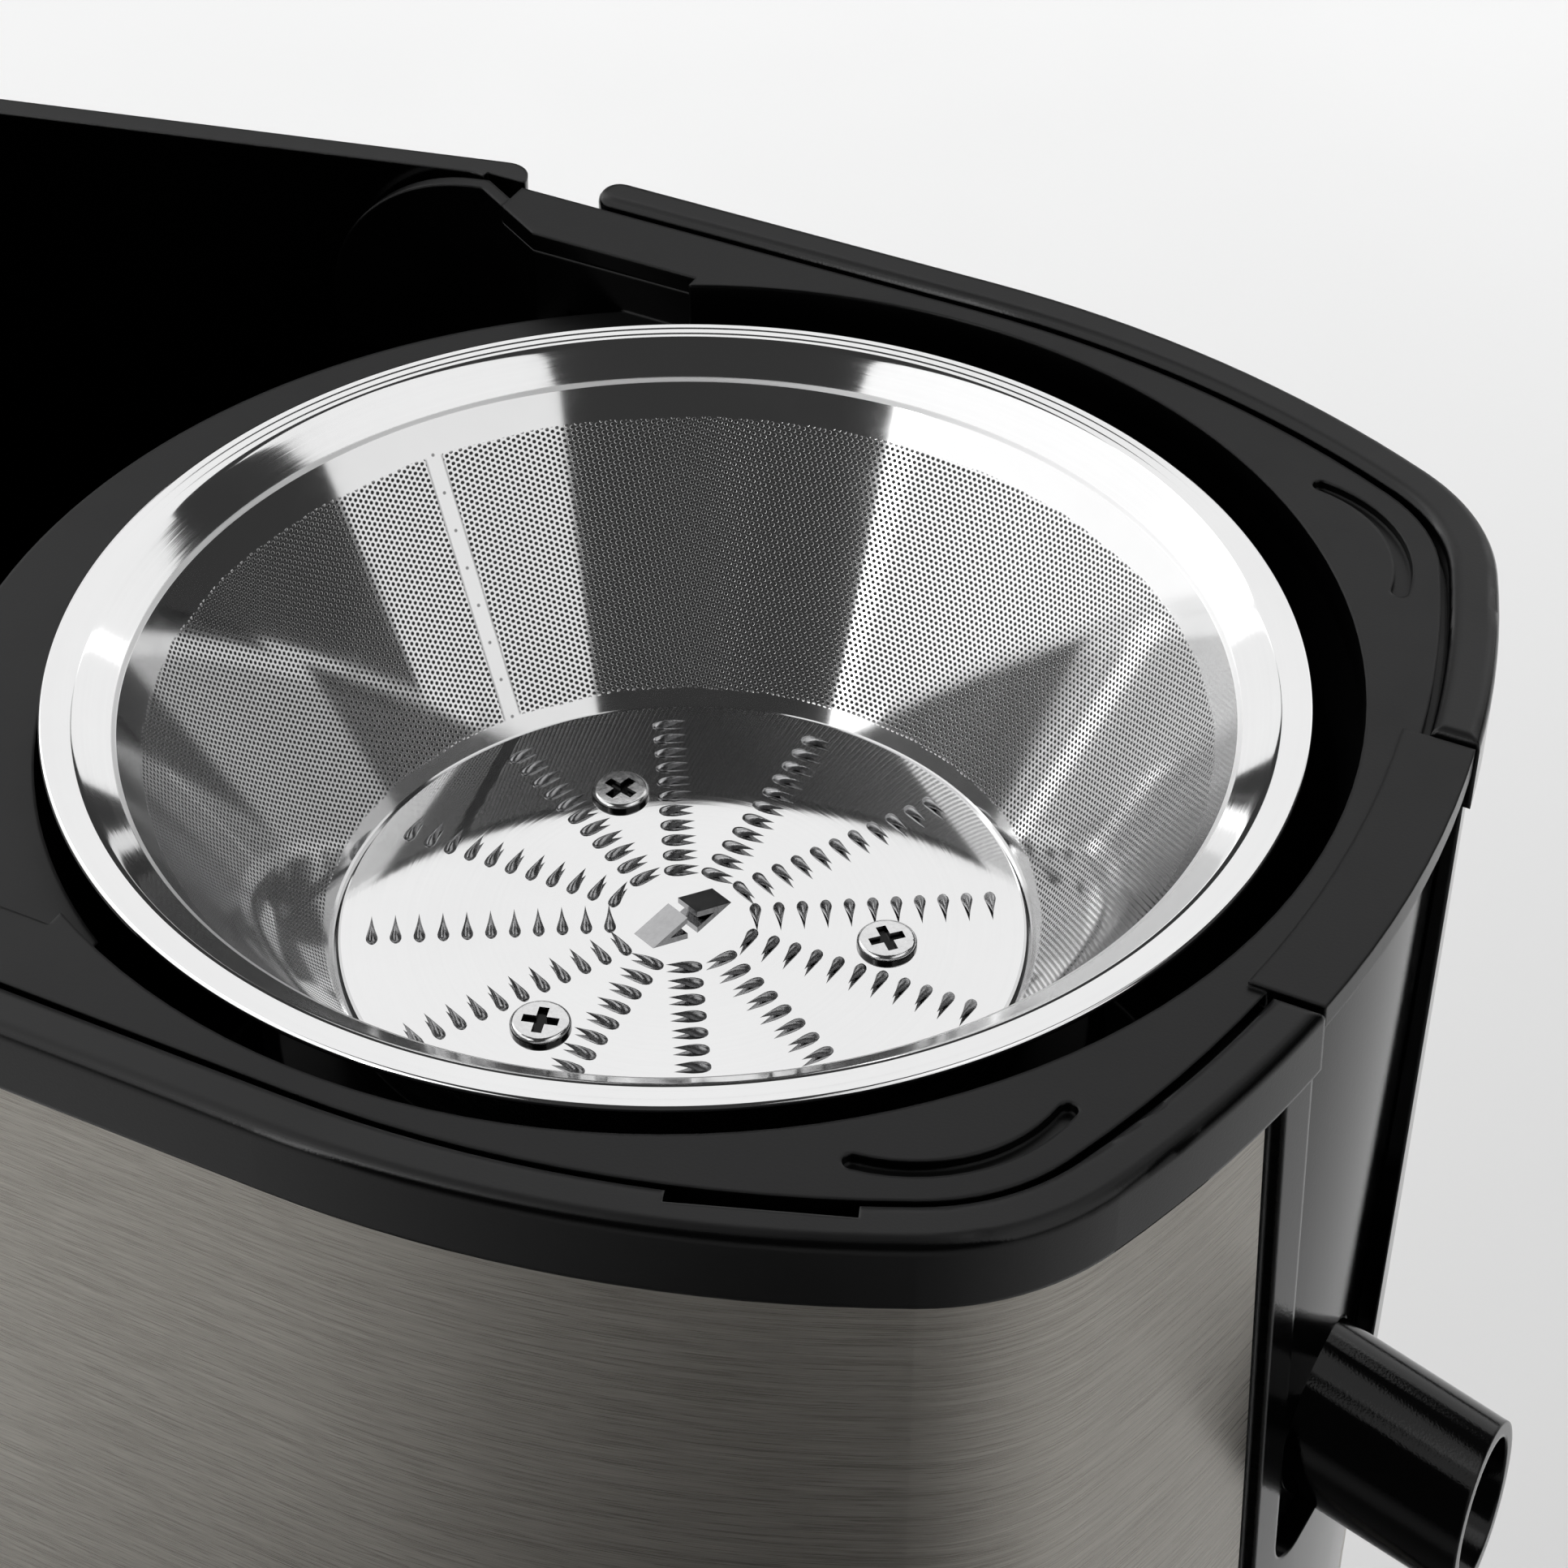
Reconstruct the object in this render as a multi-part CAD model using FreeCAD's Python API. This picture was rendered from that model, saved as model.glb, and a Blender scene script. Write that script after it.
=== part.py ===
import FreeCAD, Part
import os
from math import asin, cos, degrees, pi, radians, sin, sqrt, tan

# A centrifugal juicer without its lid: motor housing, juice bowl, filter basket and pulp bin.
# All sizes are in millimetres. Plan sizes are measured from the drive axis: x runs towards the
# spout, y away from the control side, z up from the table.

# Collar and housing plan
collar_side_margin = 9.2
collar_side_radius = 137.0
collar_corner_radius = 28.0
collar_front_radius = 150.0
collar_front_margin = 10.8
collar_arm_reach = 55.0
collar_band_width = 5.5
collar_edge_round = 1.4
collar_tip_round = 2.6
ledge_width = 5.0
ledge_thickness = 2.5
ledge_bowl_gap = 1.0
skin_inset = 0.8
housing_wall = 2.6
housing_rear_reach = 62.5
well_wall = 2.6
well_clearance = 1.2
rear_wall_gap = 7.8

# Heights of the stack that stands on the table
foot_height = 8.0
base_height = 32.0
housing_height = 183.5
fascia_height = 8.5

# Notch in the housing's spout end, and the bowl's apron that fills it
notch_half_width = 23.2
notch_taper = 5.0
notch_depth = 96.0
notch_corner_round = 7.0
notch_top_round = 0.5
apron_clearance = 0.8
apron_thickness = 2.5
apron_inset = 0.4
apron_recess = 2.4
apron_lean = 0.6

# Steel side panels
panel_thickness = 0.8
panel_recess = 1.6
panel_front_margin = 5.0
panel_groove = 2.4
panel_gap = 0.4
panel_rear_reach = 52.0
panel_foot = 8.0

# Filter basket
rim_radius = 69.4
rim_lip_width = 5.4
rim_lip_height = 1.7
rim_drop = 3.5
flare_radius = 61.4
flare_drop = 3.1
flare_bite = 0.6
basket_sheet = 0.6
basket_depth = 36.9
disc_radius = 39.9
disc_thickness = 0.8
cone_foot_gap = 0.15
hub_thickness = 4.0
hub_margin = 1.8
hub_boss_wall = 3.4
hub_skirt_wall = 2.0
hub_skirt_depth = 4.4
tooth_rows = 12
teeth_per_row = 11
tooth_row_bearing = 1.5
tooth_row_start = 8.5
tooth_row_end = 36.0
tooth_length = 2.5
tooth_width = 1.7
tooth_height = 1.5
tab_length = 6.0
tab_width = 3.4
tab_tilt = 17.0
tab_gap = 0.5
tab_bearing = 69.0
disc_screw_circle = 24.0
disc_screw_bearing = 16.5
disc_screw_count = 3
disc_screw_head_radius = 3.5
disc_screw_head_height = 0.9
disc_screw_head_round = 0.55
disc_screw_radius = 1.5
disc_screw_length = 3.4
disc_screw_slot_length = 4.2
disc_screw_slot_width = 1.2
disc_screw_slot_depth = 0.6
disc_screw_turn = 30.0

# Juice bowl
flange_drop = 1.0
flange_thickness = 2.5
flange_gap = 0.9
flange_bin_gap = 0.5
rim_gap = 5.4
bowl_mouth_depth = 5.0
bowl_throat_inset = 1.8
bowl_throat_drop = 13.0
bowl_heel_inset = 3.0
bowl_heel_round = 3.0
bowl_wall = 2.0
bowl_floor = 2.5
bowl_seat_gap = 5.5
bowl_dome_gap = 0.7
chimney_wall = 2.0
chimney_height = 3.9
chimney_gap = 2.3
labyrinth_gap = 1.2
lip_drop = 8.0
lip_thickness = 2.5
lip_overhang = 2.5
lip_reach = 3.0
chute_inset = 6.3
chute_wall = 2.0
chute_reach = 58.0
chute_side_gap = 6.0
wing_flare_reach = 69.5
wing_reach = 90.5
wing_wall_gap = 0.7
wing_round = 19.0
wing_depth = 27.0
wing_clearance = 1.0
groove_inset = 10.5
groove_half_angle = 38.0
groove_bearing = 44.5
groove_width = 2.0
groove_depth = 1.2

# Juice spout
spout_radius = 10.2
spout_wall = 1.8
spout_reach = 104.0
spout_tip_drop = 89.4
spout_slope = 19.0
spout_tip_rake = 3.0
spout_fit = 0.05

# Pulp bin
bin_gap = 1.0
bin_front_gap = 2.8
bin_front_half_width = 83.5
bin_taper = 13.6
bin_reach = 168.0
bin_rim_drop = 1.0
bin_wall = 2.2
bin_floor = 2.5
bin_draft = 7.0
bin_rear_round = 32.0
bin_front_round = 3.5
bin_rim_width = 1.2
bin_rim_height = 4.5
bin_front_drop = 32.0
bin_post_gap = 1.0

# Base
base_wall = 3.0
base_plate_thickness = 3.0
base_plate_gap = 0.3
platform_margin = 2.0
platform_thickness = 3.0
platform_root = 50.0
boss_radius = 4.5
boss_height = 18.0
boss_bite = 1.0
side_boss_place = 20.0
base_screw_radius = 1.6
base_screw_head_radius = 3.2
base_screw_head_height = 2.0
base_screw_length = 12.0
base_screw_fit = 0.2
base_screw_slot_width = 0.8
foot_radius = 10.0
foot_stem_radius = 3.0
foot_stem_fit = 0.1
front_foot_inset = 28.0
front_foot_side_inset = 36.4
rear_foot_place = 41.75
vent_count = 7
vent_length = 44.0
vent_width = 4.0
vent_pitch = 9.0
gland_radius = 7.0
gland_bore = 3.6
gland_flange_radius = 9.5
gland_flange_thickness = 3.0
gland_side_place = 30.0

# Motor and drive
dome_radius = 47.0
dome_height = 42.0
deck_thickness = 3.0
deck_gap = 0.3
shaft_radius = 4.0
running_gap = 0.04
seal_radius = 9.0
seal_height = 4.0
seal_lip = 1.0
damper_radius = 6.0
damper_height = 5.0
damper_place = 37.0
motor_bolt_radius = 2.4
motor_bolt_fit = 0.2
motor_bolt_cover = 1.0
motor_bolt_head_radius = 4.5
motor_bolt_head_height = 4.0
bracket_half_size = 45.0
bracket_thickness = 4.0
bracket_leg_thickness = 7.0
bracket_leg_width = 20.0
upper_bracket_rise = 18.0
lower_bracket_drop = 38.0
bearing_boss_radius = 13.5
bearing_radius = 9.5
bearing_height = 7.0
bearing_floor = 2.0
bearing_groove_width = 2.4
bearing_groove_depth = 0.5
shaft_hole_gap = 1.0
stator_half_size = 35.0
stator_corner_round = 8.0
stator_bore = 22.5
coil_inner_radius = 23.3
coil_outer_radius = 31.0
coil_overhang = 8.0
coil_half_angle = 60.0
coil_leg_angle = 11.0
coil_slot_angle = 1.0
coil_slot_gap = 0.3
rotor_air_gap = 0.6
rotor_slot_count = 12
rotor_slot_depth = 3.0
rotor_slot_width = 1.6
winding_radius = 19.0
winding_height = 9.0
commutator_radius = 12.0
commutator_height = 14.0
commutator_bars = 24
commutator_groove = 0.5
commutator_groove_depth = 1.0
commutator_riser = 2.0
commutator_gap = 0.08
brush_plate_thickness = 3.0
brush_plate_half_width = 40.0
brush_plate_bore = 15.0
brush_holder_inset = 1.0
brush_gap = 0.3
brush_length = 16.0
brush_half_width = 3.0
brush_height = 7.0
brush_holder_wall = 1.2
brush_spring_radius = 2.2
brush_spring_wall = 0.5
fan_radius = 34.0
fan_hub_radius = 8.0
fan_plate = 2.0
fan_blade_height = 12.0
fan_blade_count = 12
fan_blade_thickness = 1.6
fan_gap = 2.5
fan_floor_gap = 12.4
coupling_flats = 18.0
coupling_fit = 0.3
coupling_plate_radius = 12.5
coupling_plate = 1.8
coupling_lift = 1.0
coupling_cover = 2.0

# Controls
knob_place = -22.0
knob_radius = 17.0
knob_depth = 15.0
knob_grip_depth = 10.0
knob_grip_width = 7.0
knob_gap = 0.6
knob_round = 1.5
spindle_radius = 3.0
spindle_hole_gap = 1.5
spindle_length = 16.0
bezel_radius = 23.5
bezel_thickness = 2.4
bezel_gap = 0.6
marker_length = 9.0
marker_width = 1.6
marker_thickness = 0.5
switch_half_width = 15.0
switch_height = 30.0
switch_depth = 22.0
switch_deck_gap = 9.9
board_length = 60.0
board_width = 44.0
board_thickness = 1.6
board_standoff = 6.0
board_standoff_radius = 3.0
board_post_inset = 6.0
choke_radius = 7.3
choke_height = 9.0
capacitor_length = 15.0
capacitor_width = 11.0
capacitor_height = 12.5
power_switch_length = 10.5
power_switch_thickness = 5.0
power_switch_height = 14.5
interlock_place = 48.5
slot_length = 18.0
slot_gap = 0.35
slot_mouth = 1.2
plunger_length = 15.0
plunger_thickness = 1.4
plunger_gap = 0.2
plunger_sink = 3.5
plunger_blade_height = 28.0
plunger_shoulder_length = 21.5
plunger_shoulder_height = 3.0
plunger_shoulder_depth = 1.8
plunger_pin_radius = 0.5
plunger_pin_length = 4.0
spring_radius = 1.1
spring_wall = 0.3
spring_height = 8.0
microswitch_length = 20.0
microswitch_depth = 7.0
microswitch_height = 11.0

# Places that follow from those sizes
bowl_mouth_radius = rim_radius + rim_gap
bowl_throat_radius = bowl_mouth_radius - bowl_throat_inset
bowl_heel_radius = bowl_throat_radius - bowl_heel_inset
collar_half_width = bowl_mouth_radius + collar_side_margin
collar_front_reach = bowl_mouth_radius + collar_front_margin
chute_half_width = bowl_mouth_radius - chute_inset
groove_radius = collar_corner_radius - groove_inset
base_bottom = foot_height
base_top = base_bottom + base_height
housing_top = base_top + housing_height
collar_top = housing_top + fascia_height
flange_top = collar_top - flange_drop
flange_bottom = flange_top - flange_thickness
rim_height = collar_top - rim_drop
disc_top = rim_height - basket_depth
disc_bottom = disc_top - disc_thickness
hub_bottom = disc_bottom - hub_thickness
lip_top = flange_top - lip_drop
lip_bottom = lip_top - lip_thickness
chimney_top = hub_bottom - chimney_gap
bowl_dome_top = chimney_top - chimney_height
dome_top = bowl_dome_top - bowl_wall - bowl_dome_gap
deck_top = dome_top - dome_height
deck_bottom = deck_top - deck_thickness
bowl_bottom = deck_top + bowl_seat_gap
bowl_floor_top = bowl_bottom + bowl_floor
bowl_dome_inner = dome_radius + bowl_dome_gap
bowl_dome_outer = bowl_dome_inner + bowl_wall
coupling_bottom = dome_top + coupling_lift
coupling_top = hub_bottom - coupling_fit
socket_radius = coupling_flats / sqrt(3) + coupling_fit
hub_boss_radius = socket_radius + hub_boss_wall
chimney_inner = hub_boss_radius + labyrinth_gap
chimney_outer = chimney_inner + chimney_wall
hub_skirt_inner = chimney_outer + labyrinth_gap
hub_boss_bottom = coupling_bottom + coupling_plate + coupling_fit
cone_foot_radius = disc_radius + cone_foot_gap
hub_radius = cone_foot_radius + hub_margin
well_radius = bowl_throat_radius + bowl_wall + well_clearance
bulge_radius = well_radius + well_wall
lip_inner_radius = bowl_throat_radius - lip_overhang
lip_outer_radius = bulge_radius + lip_reach
rear_wall_top = lip_bottom - rear_wall_gap
notch_bottom = collar_top - notch_depth
bracket_top = deck_bottom - damper_height
stator_top = bracket_top - bracket_thickness
upper_bar_bottom = bracket_top + upper_bracket_rise
upper_bar_top = upper_bar_bottom + bracket_thickness
upper_boss_top = upper_bar_bottom + bearing_floor + bearing_height
base_plate_top = base_bottom + base_plate_thickness
shaft_bottom = base_plate_top + fan_floor_gap
fan_bottom = shaft_bottom + fan_plate
fan_top = fan_bottom + fan_blade_height + fan_plate
lower_boss_bottom = fan_top + fan_gap
lower_bar_bottom = lower_boss_bottom + bearing_floor
lower_bar_top = lower_bar_bottom + bracket_thickness
stator_bottom = lower_bar_top + lower_bracket_drop
leg_outer = bracket_half_size - bracket_thickness
leg_inner = leg_outer - bracket_leg_thickness
commutator_top = stator_bottom - winding_height - commutator_gap
commutator_bottom = commutator_top - commutator_height
brush_middle = (commutator_top + commutator_bottom) / 2
brush_plate_top = brush_middle - brush_height / 2 - brush_holder_wall
shaft_top = coupling_top - coupling_cover
bin_front = housing_rear_reach + bin_front_gap
flange_rear = bin_front - flange_bin_gap
bin_top = collar_top - bin_rim_drop
bin_hollow_radius = bulge_radius + bin_gap
bin_front_top = bin_top - bin_front_drop
panel_bottom = base_top + panel_foot
panel_face = collar_half_width - skin_inset - panel_recess + panel_thickness
wall_face = collar_half_width - skin_inset - housing_wall
knob_height = deck_bottom - switch_deck_gap - switch_height / 2
knob_back = panel_face + knob_gap
knob_front = knob_back + knob_depth
spout_tip_height = collar_top - spout_tip_drop
interlock_inset = collar_band_width - plunger_gap - plunger_thickness / 2
plunger_top = collar_top - plunger_sink
plunger_bottom = plunger_top - plunger_blade_height
microswitch_top = plunger_bottom - spring_height

# The origin is the middle of the whole object's box, on the table
axis_x = (bin_reach - spout_reach) / 2
plane_y = (knob_front - collar_half_width) / 2

V = FreeCAD.Vector
UP = V(0, 0, 1)
FAR = 400.0
PAST = 1.0
SIDES = {"control": -1, "far": 1}


def block(x0, x1, y0, y1, z0, z1):
    return Part.makeBox(x1 - x0, y1 - y0, z1 - z0, V(x0, y0, z0))


def rod(radius, z0, z1, x=0.0, y=0.0):
    return Part.makeCylinder(radius, z1 - z0, V(x, y, z0), UP)


def ring(outer, inner, z0, z1, x=0.0, y=0.0):
    return rod(outer, z0, z1, x, y).cut(rod(inner, z0 - PAST, z1 + PAST, x, y))


def rod_along_y(radius, x, z, y0, y1):
    """A round bar across the object, between two distances from the drive axis's plane."""
    return Part.makeCylinder(radius, abs(y1 - y0), V(x, min(y0, y1), z), V(0, 1, 0))


def joined(shapes):
    return shapes[0].multiFuse(shapes[1:]).removeSplitter()


def turned(shape, bearing):
    copy = shape.copy()
    copy.rotate(V(0, 0, 0), UP, bearing)
    return copy


def mirrored(shape, side):
    """The shape itself on the far side, and its mirror image on the control side."""
    return shape if side > 0 else shape.mirror(V(0, 0, 0), V(0, 1, 0))


def prism(wire, z0, z1):
    face = Part.Face(wire)
    face.translate(V(0, 0, z0))
    return face.extrude(V(0, 0, z1 - z0))


def polygon(points):
    return Part.makePolygon(points + points[:1])


def plan_prism(points, z0, z1):
    return prism(polygon([V(x, y, 0) for x, y in points]), z0, z1)


def lathe(points):
    """A solid of revolution about the drive axis from radius and height pairs."""
    face = Part.Face(polygon([V(r, 0, z) for r, z in points]))
    return face.revolve(V(0, 0, 0), UP, 360)


def sector(inner, outer, first, last, z0, z1):
    """A slice of a ring between two bearings, in degrees."""
    wedge = Part.makeCylinder(outer, z1 - z0, V(0, 0, z0), UP, last - first)
    return turned(wedge.cut(rod(inner, z0 - PAST, z1 + PAST)), first)


def arc_edge(centre, start, end):
    """The shorter arc about a centre from start to end."""
    radius = start.distanceToPoint(centre)
    half_way = (start - centre) + (end - centre)
    half_way.normalize()
    return Part.Arc(start, centre + half_way * radius, end).toShape()


def line_edge(start, end):
    return Part.LineSegment(start, end).toShape()


def circles_meet(c0, r0, c1, r1):
    """The crossing of two circles that lies on the far side of the symmetry plane."""
    gap = c1 - c0
    along = (r0 * r0 - r1 * r1 + gap.Length ** 2) / (2 * gap.Length)
    across = sqrt(r0 * r0 - along * along)
    unit = gap / gap.Length
    normal = V(-unit.y, unit.x, 0)
    both = [c0 + unit * along + normal * s * across for s in (1, -1)]
    return max(both, key=lambda point: point.y)


def outline_centres():
    """Centres of the plan's far side arc, front arc and corner arc."""
    side = V(0, collar_half_width - collar_side_radius, 0)
    front = V(collar_front_reach - collar_front_radius, 0, 0)
    corner = circles_meet(side, collar_side_radius - collar_corner_radius,
                          front, collar_front_radius - collar_corner_radius)
    return side, front, corner


def outline_points(inset, rear):
    """The plan's joints on the far side, from the rear end round to the front arc."""
    half = collar_half_width - inset
    side_c, front_c, corner_c = outline_centres()
    points = [V(-rear, half, 0), V(0, half, 0)]
    for centre, radius in ((side_c, collar_side_radius - inset), (front_c, collar_front_radius - inset)):
        points.append(centre + (corner_c - centre) * (radius / corner_c.distanceToPoint(centre)))
    return points


def body_outline(inset, rear):
    """The housing's plan drawn in from the collar's edge, and cut off at a rear distance."""
    side_c, front_c, corner_c = outline_centres()
    upper = outline_points(inset, rear)
    lower = [V(point.x, -point.y, 0) for point in upper]
    flip = V(corner_c.x, -corner_c.y, 0)
    low_side_c = V(0, -side_c.y, 0)
    edges = [
        line_edge(upper[0], upper[1]),
        arc_edge(side_c, upper[1], upper[2]),
        arc_edge(corner_c, upper[2], upper[3]),
        arc_edge(front_c, upper[3], lower[3]),
        arc_edge(flip, lower[3], lower[2]),
        arc_edge(low_side_c, lower[2], lower[1]),
        line_edge(lower[1], lower[0]),
        line_edge(lower[0], upper[0]),
    ]
    return Part.Wire(edges)


def body_prism(inset, rear, z0, z1):
    return prism(body_outline(inset, rear), z0, z1)


def housing_prism(inset, z0, z1):
    """The housing's plan with the round bulge of the bowl's well at its rear."""
    flat = body_prism(inset, housing_rear_reach - inset + skin_inset, z0, z1)
    return flat.fuse(rod(bulge_radius - inset + skin_inset, z0, z1)).removeSplitter()


def rounded_wire(points, radii):
    """A closed outline through corner points, each rounded with its own radius."""
    edges = []
    starts = []
    for i, corner in enumerate(points):
        before = (points[i - 1] - corner).normalize()
        after = (points[(i + 1) % len(points)] - corner).normalize()
        half_angle = before.getAngle(after) / 2
        back = radii[i] / tan(half_angle)
        bisector = (before + after).normalize()
        centre = corner + bisector * (radii[i] / sin(half_angle))
        enter = corner + before * back
        leave = corner + after * back
        starts.append((enter, leave))
        edges.append(arc_edge(centre, enter, leave))
    for i, (enter, leave) in enumerate(starts):
        edges.append(line_edge(leave, starts[(i + 1) % len(starts)][0]))
    return Part.Wire(Part.__sortEdges__(edges))


def notch_half(z):
    """Half the notch's width at a height."""
    return notch_half_width - (collar_top - z) * tan(radians(notch_taper))


def tongue(margin, z0, z1):
    """The notch's wedge through the spout end, widened by a margin and rounded at its foot."""
    wire = rounded_wire(
        [V(0, -notch_half(z1) - margin, z1), V(0, notch_half(z1) + margin, z1),
         V(0, notch_half(z0) + margin, z0), V(0, -notch_half(z0) - margin, z0)],
        [notch_top_round, notch_top_round, notch_corner_round, notch_corner_round])
    return Part.Face(wire).extrude(V(FAR, 0, 0))


def side_zone(side, margin, rear, z0, z1):
    """The space beside the notch on one side, from a rear distance to the spout end."""
    points = [V(-rear, notch_half(z) + margin, z) for z in (z0, z1)]
    points += [V(-rear, FAR, z) for z in (z1, z0)]
    return mirrored(Part.Face(polygon(points)).extrude(V(FAR, 0, 0)), side)


def edges_at_height(shape, z):
    return [edge for edge in shape.Edges if all(abs(v.Z - z) < 1e-6 for v in edge.Vertexes)]


def top_collar(side):
    band = body_prism(0, collar_arm_reach, housing_top, collar_top)
    band = band.cut(body_prism(collar_band_width, FAR, housing_top - PAST, collar_top + PAST))
    band = band.common(side_zone(side, 0, collar_arm_reach, housing_top, collar_top))
    tips = [edge for edge in band.Edges
            if abs(edge.Length - fascia_height) < 1e-3 and abs(edge.CenterOfMass.x + collar_arm_reach) < 0.1]
    band = band.makeFillet(collar_tip_round, tips)
    band = band.makeFillet(collar_edge_round, edges_at_height(band, collar_top))
    seat = body_prism(collar_band_width, collar_arm_reach, flange_bottom - ledge_thickness, flange_bottom)
    seat = seat.cut(body_prism(collar_band_width + ledge_width, FAR, housing_top, flange_bottom + PAST))
    seat = seat.cut(rod(bowl_mouth_radius + bowl_wall + ledge_bowl_gap, housing_top, flange_bottom + PAST))
    seat = seat.common(side_zone(side, 0, collar_arm_reach, housing_top, collar_top))
    collar = joined([band, seat])
    return collar.cut(interlock_slot()) if side < 0 else collar


def at_interlock(shape):
    """Takes a shape made at the origin, long side along x, to the interlock's place in the band."""
    radius = collar_side_radius - interlock_inset
    bearing = asin(interlock_place / collar_side_radius)
    placed = turned(shape, degrees(bearing))
    centre = collar_side_radius - collar_half_width
    placed.translate(V(radius * sin(bearing), centre - radius * cos(bearing), 0))
    return placed


def interlock_slot():
    half = slot_length / 2
    side = plunger_thickness / 2 + slot_gap
    return at_interlock(block(-half, half, -side, side + slot_mouth, housing_top - PAST, collar_top + PAST))


def motor_housing():
    shell = housing_prism(skin_inset, base_top, housing_top)
    shell = shell.cut(housing_prism(skin_inset + housing_wall, base_top - PAST, housing_top + PAST))
    gap = chute_half_width + chute_wall + chute_side_gap
    shell = shell.cut(block(-FAR, -chute_reach + chute_side_gap, -gap, gap, rear_wall_top, FAR))
    shell = shell.cut(rod(bulge_radius + PAST, rear_wall_top, FAR).common(block(-FAR, 0, -gap, gap, 0, FAR)))
    shell = shell.cut(tongue(0, notch_bottom, collar_top + PAST))
    for side in SIDES.values():
        skin = body_prism(-1, FAR, panel_bottom, housing_top + PAST)
        skin = skin.cut(body_prism(skin_inset + panel_recess, FAR, 0, FAR))
        zone = side_zone(side, panel_front_margin, panel_rear_reach, panel_bottom, housing_top + PAST)
        shell = shell.cut(skin.common(zone))
    hole = rod_along_y(spindle_radius + spindle_hole_gap, knob_place, knob_height, -FAR, 0)
    return shell.cut(hole)


def side_panel(side):
    """A thin sheet in the housing's recess, bent round the corner to the spout end."""
    low = panel_bottom + panel_gap
    high = housing_top - panel_gap
    outer_face = skin_inset + panel_recess - panel_thickness
    sheet = body_prism(outer_face, FAR, low, high)
    sheet = sheet.cut(body_prism(outer_face + panel_thickness, FAR, 0, FAR))
    margin = panel_front_margin + panel_groove
    sheet = sheet.common(side_zone(side, margin, panel_rear_reach - panel_gap, low, high))
    if side > 0:
        return sheet
    return sheet.cut(rod_along_y(spindle_radius + spindle_hole_gap, knob_place, knob_height, -FAR, 0))


def bowl_dome():
    """The raised middle of the bowl with the chimney round the drive."""
    return lathe([
        (bowl_dome_outer, bowl_floor_top),
        (bowl_dome_outer, bowl_dome_top - bowl_wall),
        (bowl_dome_outer - bowl_wall, bowl_dome_top),
        (chimney_outer, bowl_dome_top),
        (chimney_outer, chimney_top),
        (chimney_inner, chimney_top),
        (chimney_inner, bowl_dome_top - bowl_wall),
        (bowl_dome_inner, bowl_dome_top - bowl_wall),
        (bowl_dome_inner, bowl_floor_top),
    ])


def bowl_cup():
    """The turned wall and floor of the bowl."""
    mouth_foot = flange_top - bowl_mouth_depth
    throat = flange_top - bowl_throat_drop
    heel = bowl_floor_top + bowl_heel_round
    return lathe([
        (bowl_mouth_radius, flange_top),
        (bowl_mouth_radius, mouth_foot),
        (bowl_throat_radius, throat),
        (bowl_heel_radius, heel),
        (bowl_heel_radius - bowl_heel_round, bowl_floor_top),
        (bowl_dome_inner, bowl_floor_top),
        (bowl_dome_inner, bowl_bottom),
        (bowl_heel_radius, bowl_bottom),
        (bowl_heel_radius + bowl_wall, heel),
        (bowl_throat_radius + bowl_wall, throat),
        (bowl_mouth_radius + bowl_wall, mouth_foot),
        (bowl_mouth_radius + bowl_wall, flange_top),
    ])


def bowl_flange():
    inset = collar_band_width + flange_gap
    plate = body_prism(inset, flange_rear, flange_bottom, flange_top)
    front = body_prism(apron_inset, housing_rear_reach, flange_bottom, collar_top - apron_inset)
    front = front.cut(body_prism(inset + bowl_wall, FAR, 0, FAR))
    front = front.common(tongue(-apron_clearance, notch_bottom, collar_top + PAST))
    plate = joined([plate, front])
    return plate.cut(rod(bowl_mouth_radius, 0, FAR))


def wing_half_width(reach):
    """Half the space between the wings, which stay clear of the bin's walls."""
    foot = flange_top - wing_depth
    wall = bin_half_width(-reach, bin_rim_width + bin_wall + bin_drawn_in(foot))
    return wall - wing_wall_gap - chute_wall


def chute_path(offset):
    """The chute wall's line on the far side, moved outwards by an offset."""
    return [
        (-chute_half_width / 2, chute_half_width + offset),
        (-chute_reach, chute_half_width + offset),
        (-wing_flare_reach, wing_half_width(wing_flare_reach) + offset),
        (-wing_reach, wing_half_width(wing_reach) + offset),
    ]


def chute_side(side):
    """One wall of the pulp chute, with the wing that reaches into the bin."""
    plan = chute_path(0) + chute_path(chute_wall)[::-1]
    foot = flange_top - wing_depth
    skirt = rear_wall_top + wing_clearance
    wall = plan_prism(plan, foot, flange_top)
    skirt_start = chute_reach - chute_side_gap + wing_clearance
    start = housing_rear_reach + wing_clearance
    points = [V(0, 0, lip_bottom), V(-skirt_start, 0, lip_bottom), V(-skirt_start, 0, skirt),
              V(-start, 0, skirt), V(-start, 0, foot), V(-wing_reach, 0, foot),
              V(-wing_reach, 0, flange_top - wing_round), V(-wing_reach + wing_round, 0, flange_top),
              V(0, 0, flange_top)]
    centre = V(-wing_reach + wing_round, 0, flange_top - wing_round)
    edges = [line_edge(a, b) for a, b in zip(points, points[1:] + points[:1])]
    edges[6] = arc_edge(centre, points[6], points[7])
    face = Part.Face(Part.Wire(edges))
    return mirrored(wall.common(face.extrude(V(0, FAR, 0))), side)


def bowl_lip():
    """The shelf at the rear that the pulp leaves over."""
    plate = ring(lip_outer_radius, lip_inner_radius, lip_bottom, lip_top)
    half = chute_half_width + chute_wall / 2
    return plate.common(block(-FAR, -chute_half_width / 2, -half, half, 0, FAR))


def pulp_chute():
    """The rear lip with the two walls beside it, on the bowl's flange."""
    chute = joined([bowl_lip()] + [chute_side(side) for side in SIDES.values()])
    return chute.cut(bowl_top())


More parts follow.
